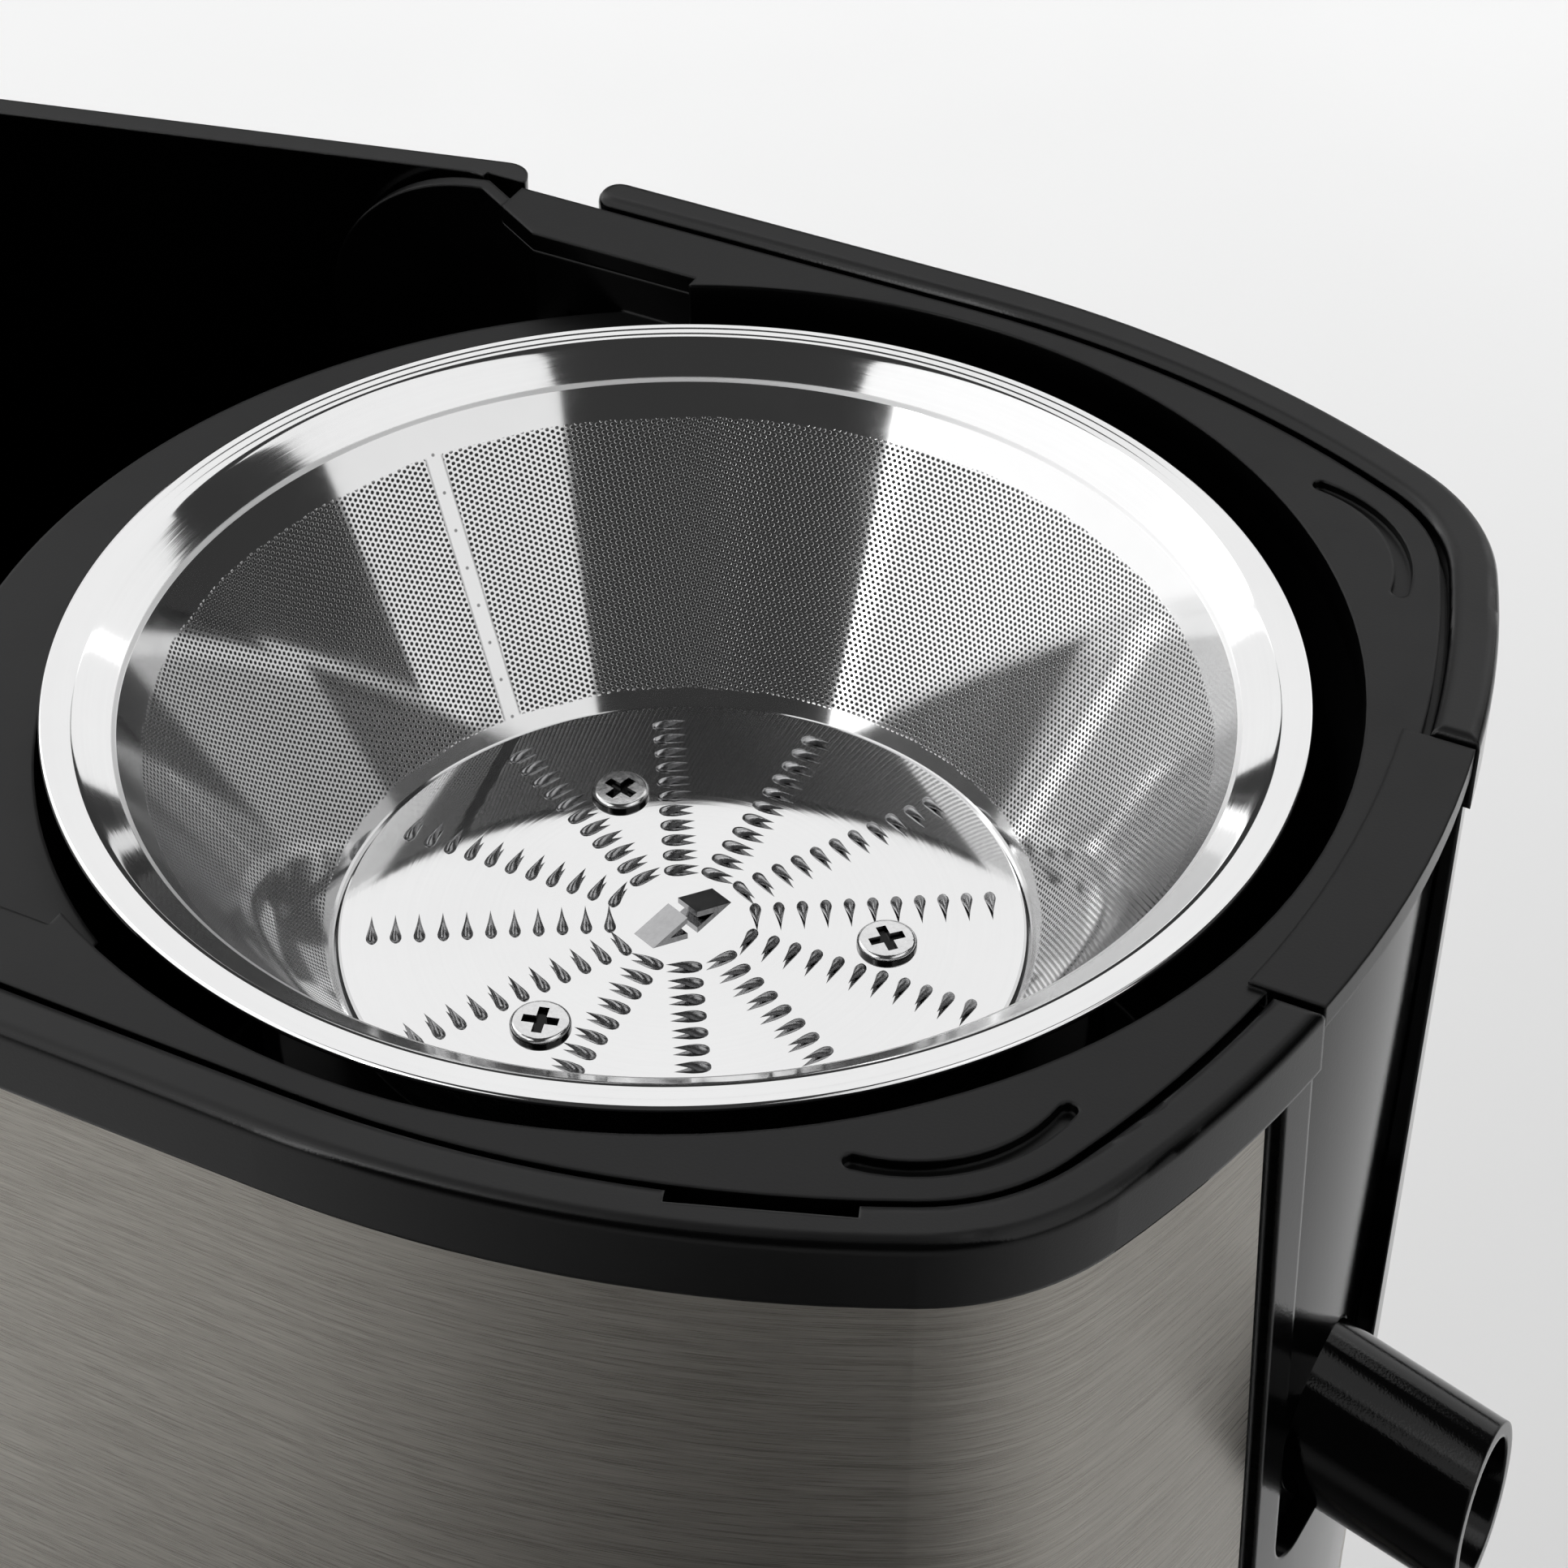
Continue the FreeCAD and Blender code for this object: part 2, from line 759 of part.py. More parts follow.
def apron_skin():
    """The tongue that hangs from the flange and fills the housing's notch."""
    low = notch_bottom + apron_clearance
    skin = body_prism(apron_recess, housing_rear_reach, low - fascia_height, flange_top)
    skin = skin.cut(body_prism(apron_recess + apron_thickness, FAR, 0, FAR))
    skin.rotate(V(collar_front_reach, 0, collar_top), V(0, 1, 0), apron_lean)
    return skin.common(tongue(-apron_clearance, low, flange_top))


def bowl_apron():
    return apron_skin().cut(bowl_top()).cut(spout_hole())


def spout_bar(radius, start, end):
    """A bar on the spout's sloping axis between two distances from the drive axis."""
    slope = radians(spout_slope)
    rise = (spout_reach - start) * tan(slope)
    return Part.makeCylinder(radius, (end - start) / cos(slope), V(start, 0, spout_tip_height + rise),
                             V(cos(slope), 0, -sin(slope)))


def groove_cut(side):
    """A short groove that follows the flange's corner at the spout end."""
    z0 = flange_top - groove_depth
    half = groove_width / 2
    first = groove_bearing - groove_half_angle
    last = groove_bearing + groove_half_angle
    cut = [sector(groove_radius - half, groove_radius + half, first, last, z0, flange_top + PAST)]
    for end in (first, last):
        angle = radians(end)
        cut.append(rod(half, z0, flange_top + PAST, groove_radius * cos(angle), groove_radius * sin(angle)))
    groove = joined(cut)
    groove.translate(outline_centres()[2])
    return mirrored(groove, side)


def bowl_top():
    """The cup and its flange, open at the rear for the pulp."""
    body = joined([bowl_cup(), bowl_flange()])
    path = chute_path(0)
    plan = path + [(x, -y) for x, y in path[::-1]]
    return body.cut(plan_prism(plan, lip_bottom, FAR))


def spout_hole():
    hole = spout_bar(spout_radius + spout_fit, bowl_heel_radius / 2, spout_reach + spout_radius)
    return hole.cut(rod(bowl_dome_outer + bowl_wall, 0, FAR))


def juice_bowl():
    body = bowl_top()
    for side in SIDES.values():
        body = body.cut(groove_cut(side))
    return body.cut(spout_hole())


def juice_spout():
    tube = spout_bar(spout_radius, bowl_heel_radius / 2, spout_reach + 2 * spout_radius)
    tube = tube.cut(spout_bar(spout_radius - spout_wall, 0, FAR))
    tube = tube.cut(rod(bowl_heel_radius + bowl_wall / 2, 0, FAR))
    waste = block(0, FAR, -FAR, FAR, -FAR, FAR)
    waste.rotate(V(0, 0, 0), V(0, 1, 0), -spout_tip_rake)
    waste.translate(V(spout_reach - spout_radius * tan(radians(spout_tip_rake)), 0, spout_tip_height))
    return tube.cut(waste)


def basket_rim():
    """Rolled lip with the plain flare that joins it to the filter."""
    centre = V(rim_radius - rim_lip_width / 2, 0, rim_height)
    crest = centre + UP * (rim_lip_height / 2)
    oval = Part.Ellipse(V(rim_radius, 0, rim_height), crest, centre)
    lip = Part.Face(Part.Wire(oval.toShape())).revolve(V(0, 0, 0), UP, 360)
    top = rim_radius - rim_lip_width + flare_bite
    foot = rim_height - flare_drop
    flare = lathe([(flare_radius, foot), (top, rim_height), (top + basket_sheet, rim_height),
                   (flare_radius + basket_sheet, foot)])
    return joined([lip, flare])


def filter_cone():
    foot = rim_height - flare_drop
    return lathe([(cone_foot_radius, disc_bottom), (flare_radius, foot),
                  (flare_radius + basket_sheet, foot), (cone_foot_radius + basket_sheet, disc_bottom)])


def solid_of(points, faces):
    shell = Part.Shell([Part.Face(polygon([points[i] for i in face])) for face in faces])
    return Part.Solid(shell)


def tooth():
    """A pressed point that leans clockwise, made where the row crosses the x axis."""
    root = disc_bottom + disc_thickness / 2
    half = tooth_width / 2
    tail = [V(-half, 0, root), V(half, 0, root)]
    tip = V(0, -tooth_length, root)
    peak = V(0, -tooth_length / 3, disc_top + tooth_height)
    return solid_of(tail + [tip, peak], [(0, 1, 2), (0, 3, 1), (1, 3, 2), (2, 3, 0)])


def disc_screw_places():
    step = 360 / disc_screw_count
    return [disc_screw_bearing + step * i for i in range(disc_screw_count)]


def grater_disc():
    plate = rod(disc_radius, disc_bottom, disc_top)
    pitch = (tooth_row_end - tooth_row_start) / (teeth_per_row - 1)
    teeth = []
    for row in range(tooth_rows):
        for i in range(teeth_per_row):
            one = tooth()
            one.translate(V(tooth_row_start + pitch * i, 0, 0))
            teeth.append(turned(one, tooth_row_bearing + 360 / tooth_rows * row))
    screw_tool = rod(disc_screw_head_radius + tooth_width, disc_top, FAR)
    for bearing in disc_screw_places():
        angle = radians(bearing)
        place = V(disc_screw_circle * cos(angle), disc_screw_circle * sin(angle), 0)
        clear = screw_tool.copy()
        clear.translate(place)
        teeth = [one for one in teeth if one.common(clear).Volume < 1e-6]
        plate = plate.cut(rod(disc_screw_radius, disc_bottom - PAST, disc_top + PAST, place.x, place.y))
    for end in (0, 180):
        tab = block(tab_gap, tab_length, -tab_width / 2, tab_width / 2, disc_top - disc_thickness, disc_top)
        tab.rotate(V(tab_length, 0, disc_top), V(0, 1, 0), tab_tilt)
        teeth.append(turned(tab, tab_bearing + end))
    return joined([plate] + teeth)


def disc_screws():
    """Pan-head cross-recess screws, one solid each."""
    screws = []
    for bearing in disc_screw_places():
        head_top = disc_top + disc_screw_head_height
        head = rod(disc_screw_head_radius, disc_top, head_top)
        head = head.makeFillet(disc_screw_head_round, edges_at_height(head, head_top))
        body = head.fuse(rod(disc_screw_radius, disc_top - disc_screw_length, disc_top))
        arm = disc_screw_slot_length / 2
        half = disc_screw_slot_width / 2
        slot = block(-arm, arm, -half, half, head_top - disc_screw_slot_depth, FAR)
        for turn in (0, 90):
            body = body.cut(turned(slot, disc_screw_turn + turn))
        body.translate(V(disc_screw_circle, 0, 0))
        screws.append(turned(body, bearing))
    return Part.makeCompound(screws)


def hexagon(flats, z0, z1):
    radius = flats / sqrt(3)
    return plan_prism([(radius * cos(pi / 3 * i), radius * sin(pi / 3 * i)) for i in range(6)], z0, z1)


def basket_hub():
    """Moulded plate under the disc with the socket that sits on the drive."""
    skirt = ring(hub_skirt_inner + hub_skirt_wall, hub_skirt_inner, hub_bottom - hub_skirt_depth, hub_bottom)
    boss = rod(hub_boss_radius, hub_boss_bottom, hub_bottom)
    hub = joined([rod(hub_radius, hub_bottom, disc_bottom), boss, skirt])
    hub = hub.cut(hexagon(coupling_flats + 2 * coupling_fit, hub_boss_bottom - PAST, hub_bottom))
    for bearing in disc_screw_places():
        angle = radians(bearing)
        hub = hub.cut(rod(disc_screw_radius, disc_top - disc_screw_length, disc_top,
                          disc_screw_circle * cos(angle), disc_screw_circle * sin(angle)))
    return hub


def bin_half_width(x, inset):
    """Half the bin's width at its top edge, which narrows towards the rear."""
    slope = radians(bin_taper)
    return bin_front_half_width + (x + bin_front) * tan(slope) - inset / cos(slope)


def rear_wire(front, rear, inset, z):
    """The bin's plan between two ends, drawn in by an inset."""
    half = [bin_half_width(x, inset) for x in (front, rear)]
    corners = [V(front, half[0], z), V(rear, half[1], z), V(rear, -half[1], z), V(front, -half[0], z)]
    wide = bin_rear_round - inset
    return rounded_wire(corners, [bin_front_round, wide, wide, bin_front_round])


def bin_drawn_in(z):
    """How far the bin's sides lie inside its top edge at a height."""
    return bin_draft * (bin_top - z) / (bin_top - base_top)


def bin_wire(z, inset):
    """The bin's plan at a height: straight front, other sides drawn in towards the foot."""
    drawn_in = inset + bin_drawn_in(z)
    return rear_wire(-bin_front - inset, -bin_reach + drawn_in, drawn_in, z)


def bin_body(inset, low, high):
    return Part.makeLoft([bin_wire(low, inset), bin_wire(high, inset)], True, True)


def pulp_bin():
    low = base_top
    outer = bin_body(bin_rim_width, low, bin_top)
    rim = bin_body(0, bin_top - bin_rim_height, bin_top)
    outer = joined([outer, rim]).cut(rod(bin_hollow_radius, 0, FAR))
    inner = bin_body(bin_rim_width + bin_wall, low, bin_top + PAST)
    inner = inner.cut(rod(bin_hollow_radius + bin_wall, 0, FAR))
    inner = inner.common(block(-FAR, 0, -FAR, FAR, low + bin_floor, FAR))
    shell = outer.cut(inner)
    post = bin_front_half_width - bin_rim_width - bin_wall - bin_post_gap
    back = bin_front + bin_rim_width + 2 * bin_wall
    return shell.cut(block(-back, 0, -post, post, bin_front_top, FAR)).cut(
        rod(bin_hollow_radius + 2 * bin_wall, bin_front_top, FAR))


def base_plan(inset, z0, z1):
    """The base's plan: the housing's own, and the platform that the bin stands on."""
    front = body_prism(skin_inset + inset, housing_rear_reach - inset, z0, z1)
    rear_inset = bin_draft - platform_margin + inset
    wire = rear_wire(-platform_root, -bin_reach + rear_inset, rear_inset, 0)
    return front.fuse(prism(wire, z0, z1)).removeSplitter()


def boss_places():
    """Screw bosses against the base's walls: two at the sides, two at each end."""
    reach = base_wall + boss_radius - boss_bite
    corner = outline_points(skin_inset + reach, 1)[2]
    side_y = collar_half_width - skin_inset - reach
    rear_x = -bin_reach + bin_draft + bin_rear_round
    rear_y = bin_half_width(rear_x, bin_draft - platform_margin + reach)
    upper = [(-side_boss_place, side_y), (corner.x, corner.y), (rear_x, rear_y)]
    return upper + [(x, -y) for x, y in upper]


def base_tub():
    tub = base_plan(0, base_bottom, base_top)
    roof = base_top - platform_thickness
    tub = tub.cut(base_plan(base_wall, base_bottom - PAST, roof))
    tub = tub.cut(housing_prism(skin_inset + housing_wall, roof - PAST, base_top + PAST))
    bosses = [rod(boss_radius, base_plate_top, base_plate_top + boss_height, x, y) for x, y in boss_places()]
    tub = joined([tub] + [boss.common(base_plan(0, base_bottom, base_top)) for boss in bosses])
    for x, y in boss_places():
        tub = tub.cut(rod(base_screw_radius, base_bottom, base_plate_top + base_screw_length, x, y))
    return tub.cut(gland_hole())


def gland_hole():
    z = (base_bottom + base_top) / 2
    return Part.makeCylinder(gland_radius, FAR, V(-FAR - bin_front, gland_side_place, z), V(1, 0, 0)).common(
        block(-FAR, -bin_reach + bin_draft + 2 * bin_rear_round, -FAR, FAR, 0, FAR))


def gland_face():
    return -bin_reach + bin_draft - platform_margin


def cord_gland():
    """The bush in the base's rear wall that a mains lead would pass through."""
    z = (base_bottom + base_top) / 2
    face = gland_face()
    start = V(face - gland_flange_thickness, gland_side_place, z)
    body = Part.makeCylinder(gland_flange_radius, gland_flange_thickness, start, V(1, 0, 0))
    barrel = Part.makeCylinder(gland_radius, base_wall + 2 * gland_flange_thickness, start, V(1, 0, 0))
    bore = Part.makeCylinder(gland_bore, FAR, start - V(1, 0, 0), V(1, 0, 0))
    return joined([body, barrel]).cut(bore)


def foot_places():
    front = V(collar_front_reach - front_foot_inset, collar_half_width - front_foot_side_inset, 0)
    rear = V(-bin_reach + bin_draft + bin_rear_round, rear_foot_place, 0)
    return [(p.x, s * p.y) for p in (front, rear) for s in SIDES.values()]


def base_plate():
    plate = base_plan(base_wall + base_plate_gap, base_bottom, base_plate_top)
    for x, y in boss_places():
        head_top = base_bottom + base_screw_head_height
        plate = plate.cut(rod(base_screw_radius + base_screw_fit, 0, FAR, x, y))
        plate = plate.cut(rod(base_screw_head_radius + base_screw_fit, 0, head_top, x, y))
    for x, y in foot_places():
        plate = plate.cut(rod(foot_stem_radius + foot_stem_fit, 0, FAR, x, y))
    for i in range(vent_count):
        x = vent_pitch * (i - (vent_count - 1) / 2) - vent_width / 2
        plate = plate.cut(block(x, x + vent_width, -vent_length / 2, vent_length / 2, 0, FAR))
    legs = [rod(board_standoff_radius, base_plate_top, base_plate_top + board_standoff, x, y)
            for x, y in board_posts()]
    return joined([plate] + legs)


def rubber_feet():
    feet = []
    for x, y in foot_places():
        pad = rod(foot_radius, 0, foot_height, x, y)
        pad = pad.makeChamfer(foot_height / 5, edges_at_height(pad, 0))
        feet.append(pad.fuse(rod(foot_stem_radius, 0, base_plate_top, x, y)).removeSplitter())
    return Part.makeCompound(feet)


def base_screws():
    screws = []
    for x, y in boss_places():
        head_top = base_bottom + base_screw_head_height
        head = rod(base_screw_head_radius, base_bottom, head_top, x, y)
        shank = rod(base_screw_radius, base_bottom, base_bottom + base_screw_length, x, y)
        half = base_screw_slot_width / 2
        slot_top = base_bottom + base_screw_head_height / 2
        cross = block(-base_screw_radius, base_screw_radius, -half, half, 0, slot_top)
        for turn in (0, 90):
            slot = turned(cross, turn)
            slot.translate(V(x, y, 0))
            head = head.cut(slot)
        screws.append(joined([head, shank.cut(rod(FAR, 0, head_top))]))
    return Part.makeCompound(screws)


def board_posts():
    middle = -(bin_front + bin_reach) / 2
    x = board_length / 2 - board_post_inset
    y = board_width / 2 - board_post_inset
    return [(middle + i * x, j * y) for i in (-1, 1) for j in (-1, 1)]


def control_board():
    """Board with a choke, a capacitor and a power switch on it."""
    low = base_plate_top + board_standoff
    top = low + board_thickness
    middle = -(bin_front + bin_reach) / 2
    half_x = board_length / 2
    half_y = board_width / 2
    board = block(middle - half_x, middle + half_x, -half_y, half_y, low, top)
    choke = rod(choke_radius, top, top + choke_height, middle - half_x / 2, choke_radius)
    capacitor = block(middle, middle + capacitor_length, -capacitor_width, 0, top, top + capacitor_height)
    power = block(middle + choke_radius, middle + choke_radius + power_switch_length, choke_radius,
                  choke_radius + power_switch_thickness, top, top + power_switch_height)
    return joined([board, choke, capacitor, power])


def motor_deck():
    """Floor of the well, with the dome that the drive comes up through."""
    plate = housing_prism(skin_inset + housing_wall + deck_gap, deck_bottom, deck_top)
    dome = rod(dome_radius, deck_bottom, dome_top)
    dome = dome.makeFillet(bowl_wall, edges_at_height(dome, dome_top))
    deck = joined([plate, dome]).cut(rod(dome_radius - deck_thickness, 0, dome_top - deck_thickness))
    deck = deck.cut(rod(seal_radius, 0, FAR))
    for x, y in damper_places():
        deck = deck.cut(rod(motor_bolt_radius, 0, deck_top - motor_bolt_cover, x, y))
    return deck.removeSplitter()


def damper_places():
    return [(i * damper_place, j * damper_place) for i in (-1, 1) for j in (-1, 1)]


def shaft_seal():
    low = dome_top - seal_height
    seal = ring(seal_radius, shaft_radius + running_gap, low, dome_top)
    lip = ring(seal_radius + deck_thickness, seal_radius - seal_lip, low - seal_lip, dome_top - deck_thickness)
    return joined([seal, lip])


def motor_dampers():
    bore = motor_bolt_radius + motor_bolt_fit
    return Part.makeCompound([ring(damper_radius, bore, bracket_top, deck_bottom, x, y)
                              for x, y in damper_places()])


def motor_bolts():
    bolts = []
    for x, y in damper_places():
        head = rod(motor_bolt_head_radius, stator_top - motor_bolt_head_height, stator_top, x, y)
        head = head.cut(rod(motor_bolt_radius / 2, 0, stator_top - motor_bolt_head_height / 2, x, y))
        bolts.append(joined([head, rod(motor_bolt_radius, stator_top, deck_top - motor_bolt_cover, x, y)]))
    return Part.makeCompound(bolts)


def bearing_bridge(leg_low, leg_high, bar_low, bar_high, boss_low, boss_high):
    """Two legs and a bar across the motor with the bearing boss in its middle."""
    half = bracket_leg_width / 2
    legs = [block(min(s * leg_inner, s * leg_outer), max(s * leg_inner, s * leg_outer), -half, half,
                  leg_low, leg_high) for s in (-1, 1)]
    bar = block(-leg_outer, leg_outer, -half, half, bar_low, bar_high)
    return joined(legs + [bar, rod(bearing_boss_radius, boss_low, boss_high)])


def upper_bracket():
    plate = block(-bracket_half_size, bracket_half_size, -bracket_half_size, bracket_half_size,
                  stator_top, bracket_top)
    plate = plate.cut(rod(coil_outer_radius + coil_slot_gap, 0, FAR))
    for x, y in damper_places():
        plate = plate.cut(rod(motor_bolt_radius + motor_bolt_fit, 0, FAR, x, y))
    bridge = bearing_bridge(bracket_top, upper_bar_bottom, upper_bar_bottom, upper_bar_top,
                            upper_bar_bottom, upper_boss_top)
    bridge = bridge.cut(rod(bearing_radius, upper_bar_bottom + bearing_floor, FAR))
    return joined([plate, bridge]).cut(rod(shaft_radius + shaft_hole_gap, 0, FAR))


def lower_bracket():
    bridge = bearing_bridge(lower_bar_top, stator_bottom, lower_bar_bottom, lower_bar_top,
                            lower_boss_bottom, lower_bar_top + bearing_floor)
    pocket = rod(bearing_radius, 0, lower_boss_bottom + bearing_height)
    return bridge.cut(pocket).cut(rod(shaft_radius + shaft_hole_gap, 0, FAR))


def shaft_bearing(z0):
    """A ball bearing drawn as one ring that runs on the shaft."""
    race = ring(bearing_radius, shaft_radius + running_gap, z0, z0 + bearing_height)
    middle = (bearing_radius + shaft_radius) / 2
    half = bearing_groove_width / 2
    for z in (z0 - bearing_height + bearing_groove_depth, z0 + bearing_height - bearing_groove_depth):
        race = race.cut(ring(middle + half, middle - half, z, z + bearing_height))
    return race


def stator_core():
    half = stator_half_size
    wire = rounded_wire([V(half, half, 0), V(-half, half, 0), V(-half, -half, 0), V(half, -half, 0)],
                        [stator_corner_round] * 4)
    core = prism(wire, stator_bottom, stator_top).cut(rod(stator_bore, 0, FAR))
    for pole in (90, 270):
        for edge in (-1, 1):
            middle = pole + edge * (coil_half_angle - coil_leg_angle / 2)
            spread = coil_leg_angle / 2 + coil_slot_angle
            core = core.cut(sector(stator_bore - PAST, coil_outer_radius + coil_slot_gap, middle - spread,
                                   middle + spread, 0, FAR))
    return core


def field_coils():
    coils = []
    for pole in (90, 270):
        coil = sector(coil_inner_radius, coil_outer_radius, pole - coil_half_angle, pole + coil_half_angle,
                      stator_bottom - coil_overhang, stator_top + coil_overhang)
        window = coil_half_angle - coil_leg_angle
        coils.append(coil.cut(sector(coil_inner_radius - PAST, coil_outer_radius + PAST,
                                     pole - window, pole + window, stator_bottom, stator_top)))
    return Part.makeCompound(coils)


def brush_plate():
    low = brush_plate_top - brush_plate_thickness
    plate = block(-leg_inner, leg_inner, -brush_plate_half_width, brush_plate_half_width, low, brush_plate_top)
    return plate.cut(rod(brush_plate_bore, 0, FAR))


def brush_pair(make):
    return Part.makeCompound([turned(make(), 180 * i) for i in range(2)])


def brush_block(margin, start, end):
    half = brush_half_width + margin
    return block(-half, half, start, end, brush_middle - brush_height / 2 - margin,
                 brush_middle + brush_height / 2 + margin)


def brush_holder():
    start = brush_plate_bore + brush_holder_inset
    end = brush_plate_half_width - brush_holder_wall
    return brush_block(brush_holder_wall, start, end).cut(brush_block(0, 0, end - brush_holder_wall))


def carbon_brush():
    start = commutator_radius + brush_gap
    stick = brush_block(0, 0, start + brush_length)
    return stick.cut(rod(start, 0, FAR))


def brush_spring():
    """Spring between the brush and the closed end of its holder, drawn as a sleeve."""
    start = commutator_radius + brush_gap + brush_length
    end = brush_plate_half_width - 2 * brush_holder_wall
    sleeve = rod_along_y(brush_spring_radius, 0, brush_middle, start, end)
    return sleeve.cut(rod_along_y(brush_spring_radius - brush_spring_wall, 0, brush_middle, 0, FAR))


def motor_shaft():
    return rod(shaft_radius, shaft_bottom, shaft_top)


def rotor_core():
    radius = stator_bore - rotor_air_gap
    core = ring(radius, shaft_radius, stator_bottom, stator_top)
    half = rotor_slot_width / 2
    slot = block(radius - rotor_slot_depth, FAR, -half, half, 0, FAR)
    for i in range(rotor_slot_count):
        core = core.cut(turned(slot, 360 / rotor_slot_count * i))
    return core


def rotor_windings():
    ends = []
    for low in (stator_bottom - winding_height, stator_top):
        end = ring(winding_radius, shaft_radius, low, low + winding_height)
        round_z = low if low < stator_bottom else low + winding_height
        outer = [edge for edge in edges_at_height(end, round_z) if edge.Length > 2 * pi * winding_radius - 1]
        ends.append(end.makeFillet(winding_height / 3, outer))
    return Part.makeCompound(ends)


def commutator():
    drum = ring(commutator_radius, shaft_radius, commutator_bottom, commutator_top)
    half = commutator_groove / 2
    bottom = commutator_radius - commutator_groove_depth
    slot = block(bottom, FAR, -half, half, 0, commutator_top - commutator_riser)
    for i in range(commutator_bars):
        drum = drum.cut(turned(slot, 360 / commutator_bars * i))
    return drum


def cooling_fan():
    plate_low = fan_top - fan_plate
    parts = [rod(fan_radius, plate_low, fan_top), rod(fan_hub_radius, fan_bottom, fan_top)]
    for i in range(fan_blade_count):
        blade = block(fan_hub_radius - PAST, fan_radius, -fan_blade_thickness / 2, fan_blade_thickness / 2,
                      fan_bottom, plate_low)
        parts.append(turned(blade, 360 / fan_blade_count * i))
    return joined(parts).cut(rod(shaft_radius, 0, FAR))


def drive_coupling():
    body = joined([rod(coupling_plate_radius, coupling_bottom, coupling_bottom + coupling_plate),
                   hexagon(coupling_flats, coupling_bottom, coupling_top)])
    return body.cut(rod(shaft_radius, 0, shaft_top))


def control_knob():
    """Round dial with a raised finger grip, and the spindle that goes into the switch."""
    rim_front = knob_front - knob_grip_depth
    dial = rod_along_y(knob_radius, knob_place, knob_height, -knob_back, -rim_front)
    front_edges = [edge for edge in dial.Edges if all(abs(v.Y + rim_front) < 1e-6 for v in edge.Vertexes)]
    dial = dial.makeFillet(knob_round, front_edges)
    grip = rod_along_y(knob_radius - knob_round, knob_place, knob_height, -rim_front + PAST, -knob_front)
    half = knob_grip_width / 2
    grip = grip.common(block(knob_place - half, knob_place + half, -FAR, 0, 0, FAR))
    spindle = rod_along_y(spindle_radius, knob_place, knob_height, -knob_back, -wall_face + spindle_length)
    return joined([dial, grip, spindle]).cut(marker_block())


def marker_block():
    half = marker_width / 2
    top = knob_height + knob_radius - 2 * knob_round
    return block(knob_place - half, knob_place + half, -knob_front, -knob_front + marker_thickness,
                 top - marker_length, top - knob_round)


def knob_bezel():
    outer = rod_along_y(bezel_radius, knob_place, knob_height, -panel_face, -panel_face - bezel_thickness)
    return outer.cut(rod_along_y(knob_radius + bezel_gap, knob_place, knob_height, -FAR, 0))


def rotary_switch():
    body = block(knob_place - switch_half_width, knob_place + switch_half_width, -wall_face,
                 -wall_face + switch_depth, knob_height - switch_height / 2, knob_height + switch_height / 2)
    return body.cut(rod_along_y(spindle_radius + running_gap, knob_place, knob_height, -FAR,
                                -wall_face + spindle_length + running_gap))


def interlock_plunger():
    """Blade in the collar's slot, stopped under the collar by a shoulder."""
    half = plunger_length / 2
    thick = plunger_thickness / 2
    blade = block(-half, half, -thick, thick, plunger_bottom, plunger_top)
    wide = plunger_shoulder_length / 2
    shoulder = block(-wide, wide, thick - plunger_shoulder_depth / 2, thick + plunger_shoulder_depth / 2,
                     housing_top - plunger_shoulder_height, housing_top)
    pin = rod(plunger_pin_radius, plunger_bottom - plunger_pin_length, plunger_bottom)
    return at_interlock(joined([blade, shoulder, pin]))


def interlock_spring():
    return at_interlock(ring(spring_radius, spring_radius - spring_wall, microswitch_top, plunger_bottom))


def interlock_switch():
    """Small switch on the housing's wall, under the plunger."""
    half = microswitch_length / 2
    out = wall_gap_to_interlock()
    return at_interlock(block(-half, half, -out, microswitch_depth - out, microswitch_top - microswitch_height,
                              microswitch_top)).cut(housing_skin())


def wall_gap_to_interlock():
    return interlock_inset - skin_inset - housing_wall + PAST


def housing_skin():
    solid = body_prism(-1, FAR, base_top, housing_top)
    return solid.cut(body_prism(skin_inset + housing_wall, FAR, 0, FAR))


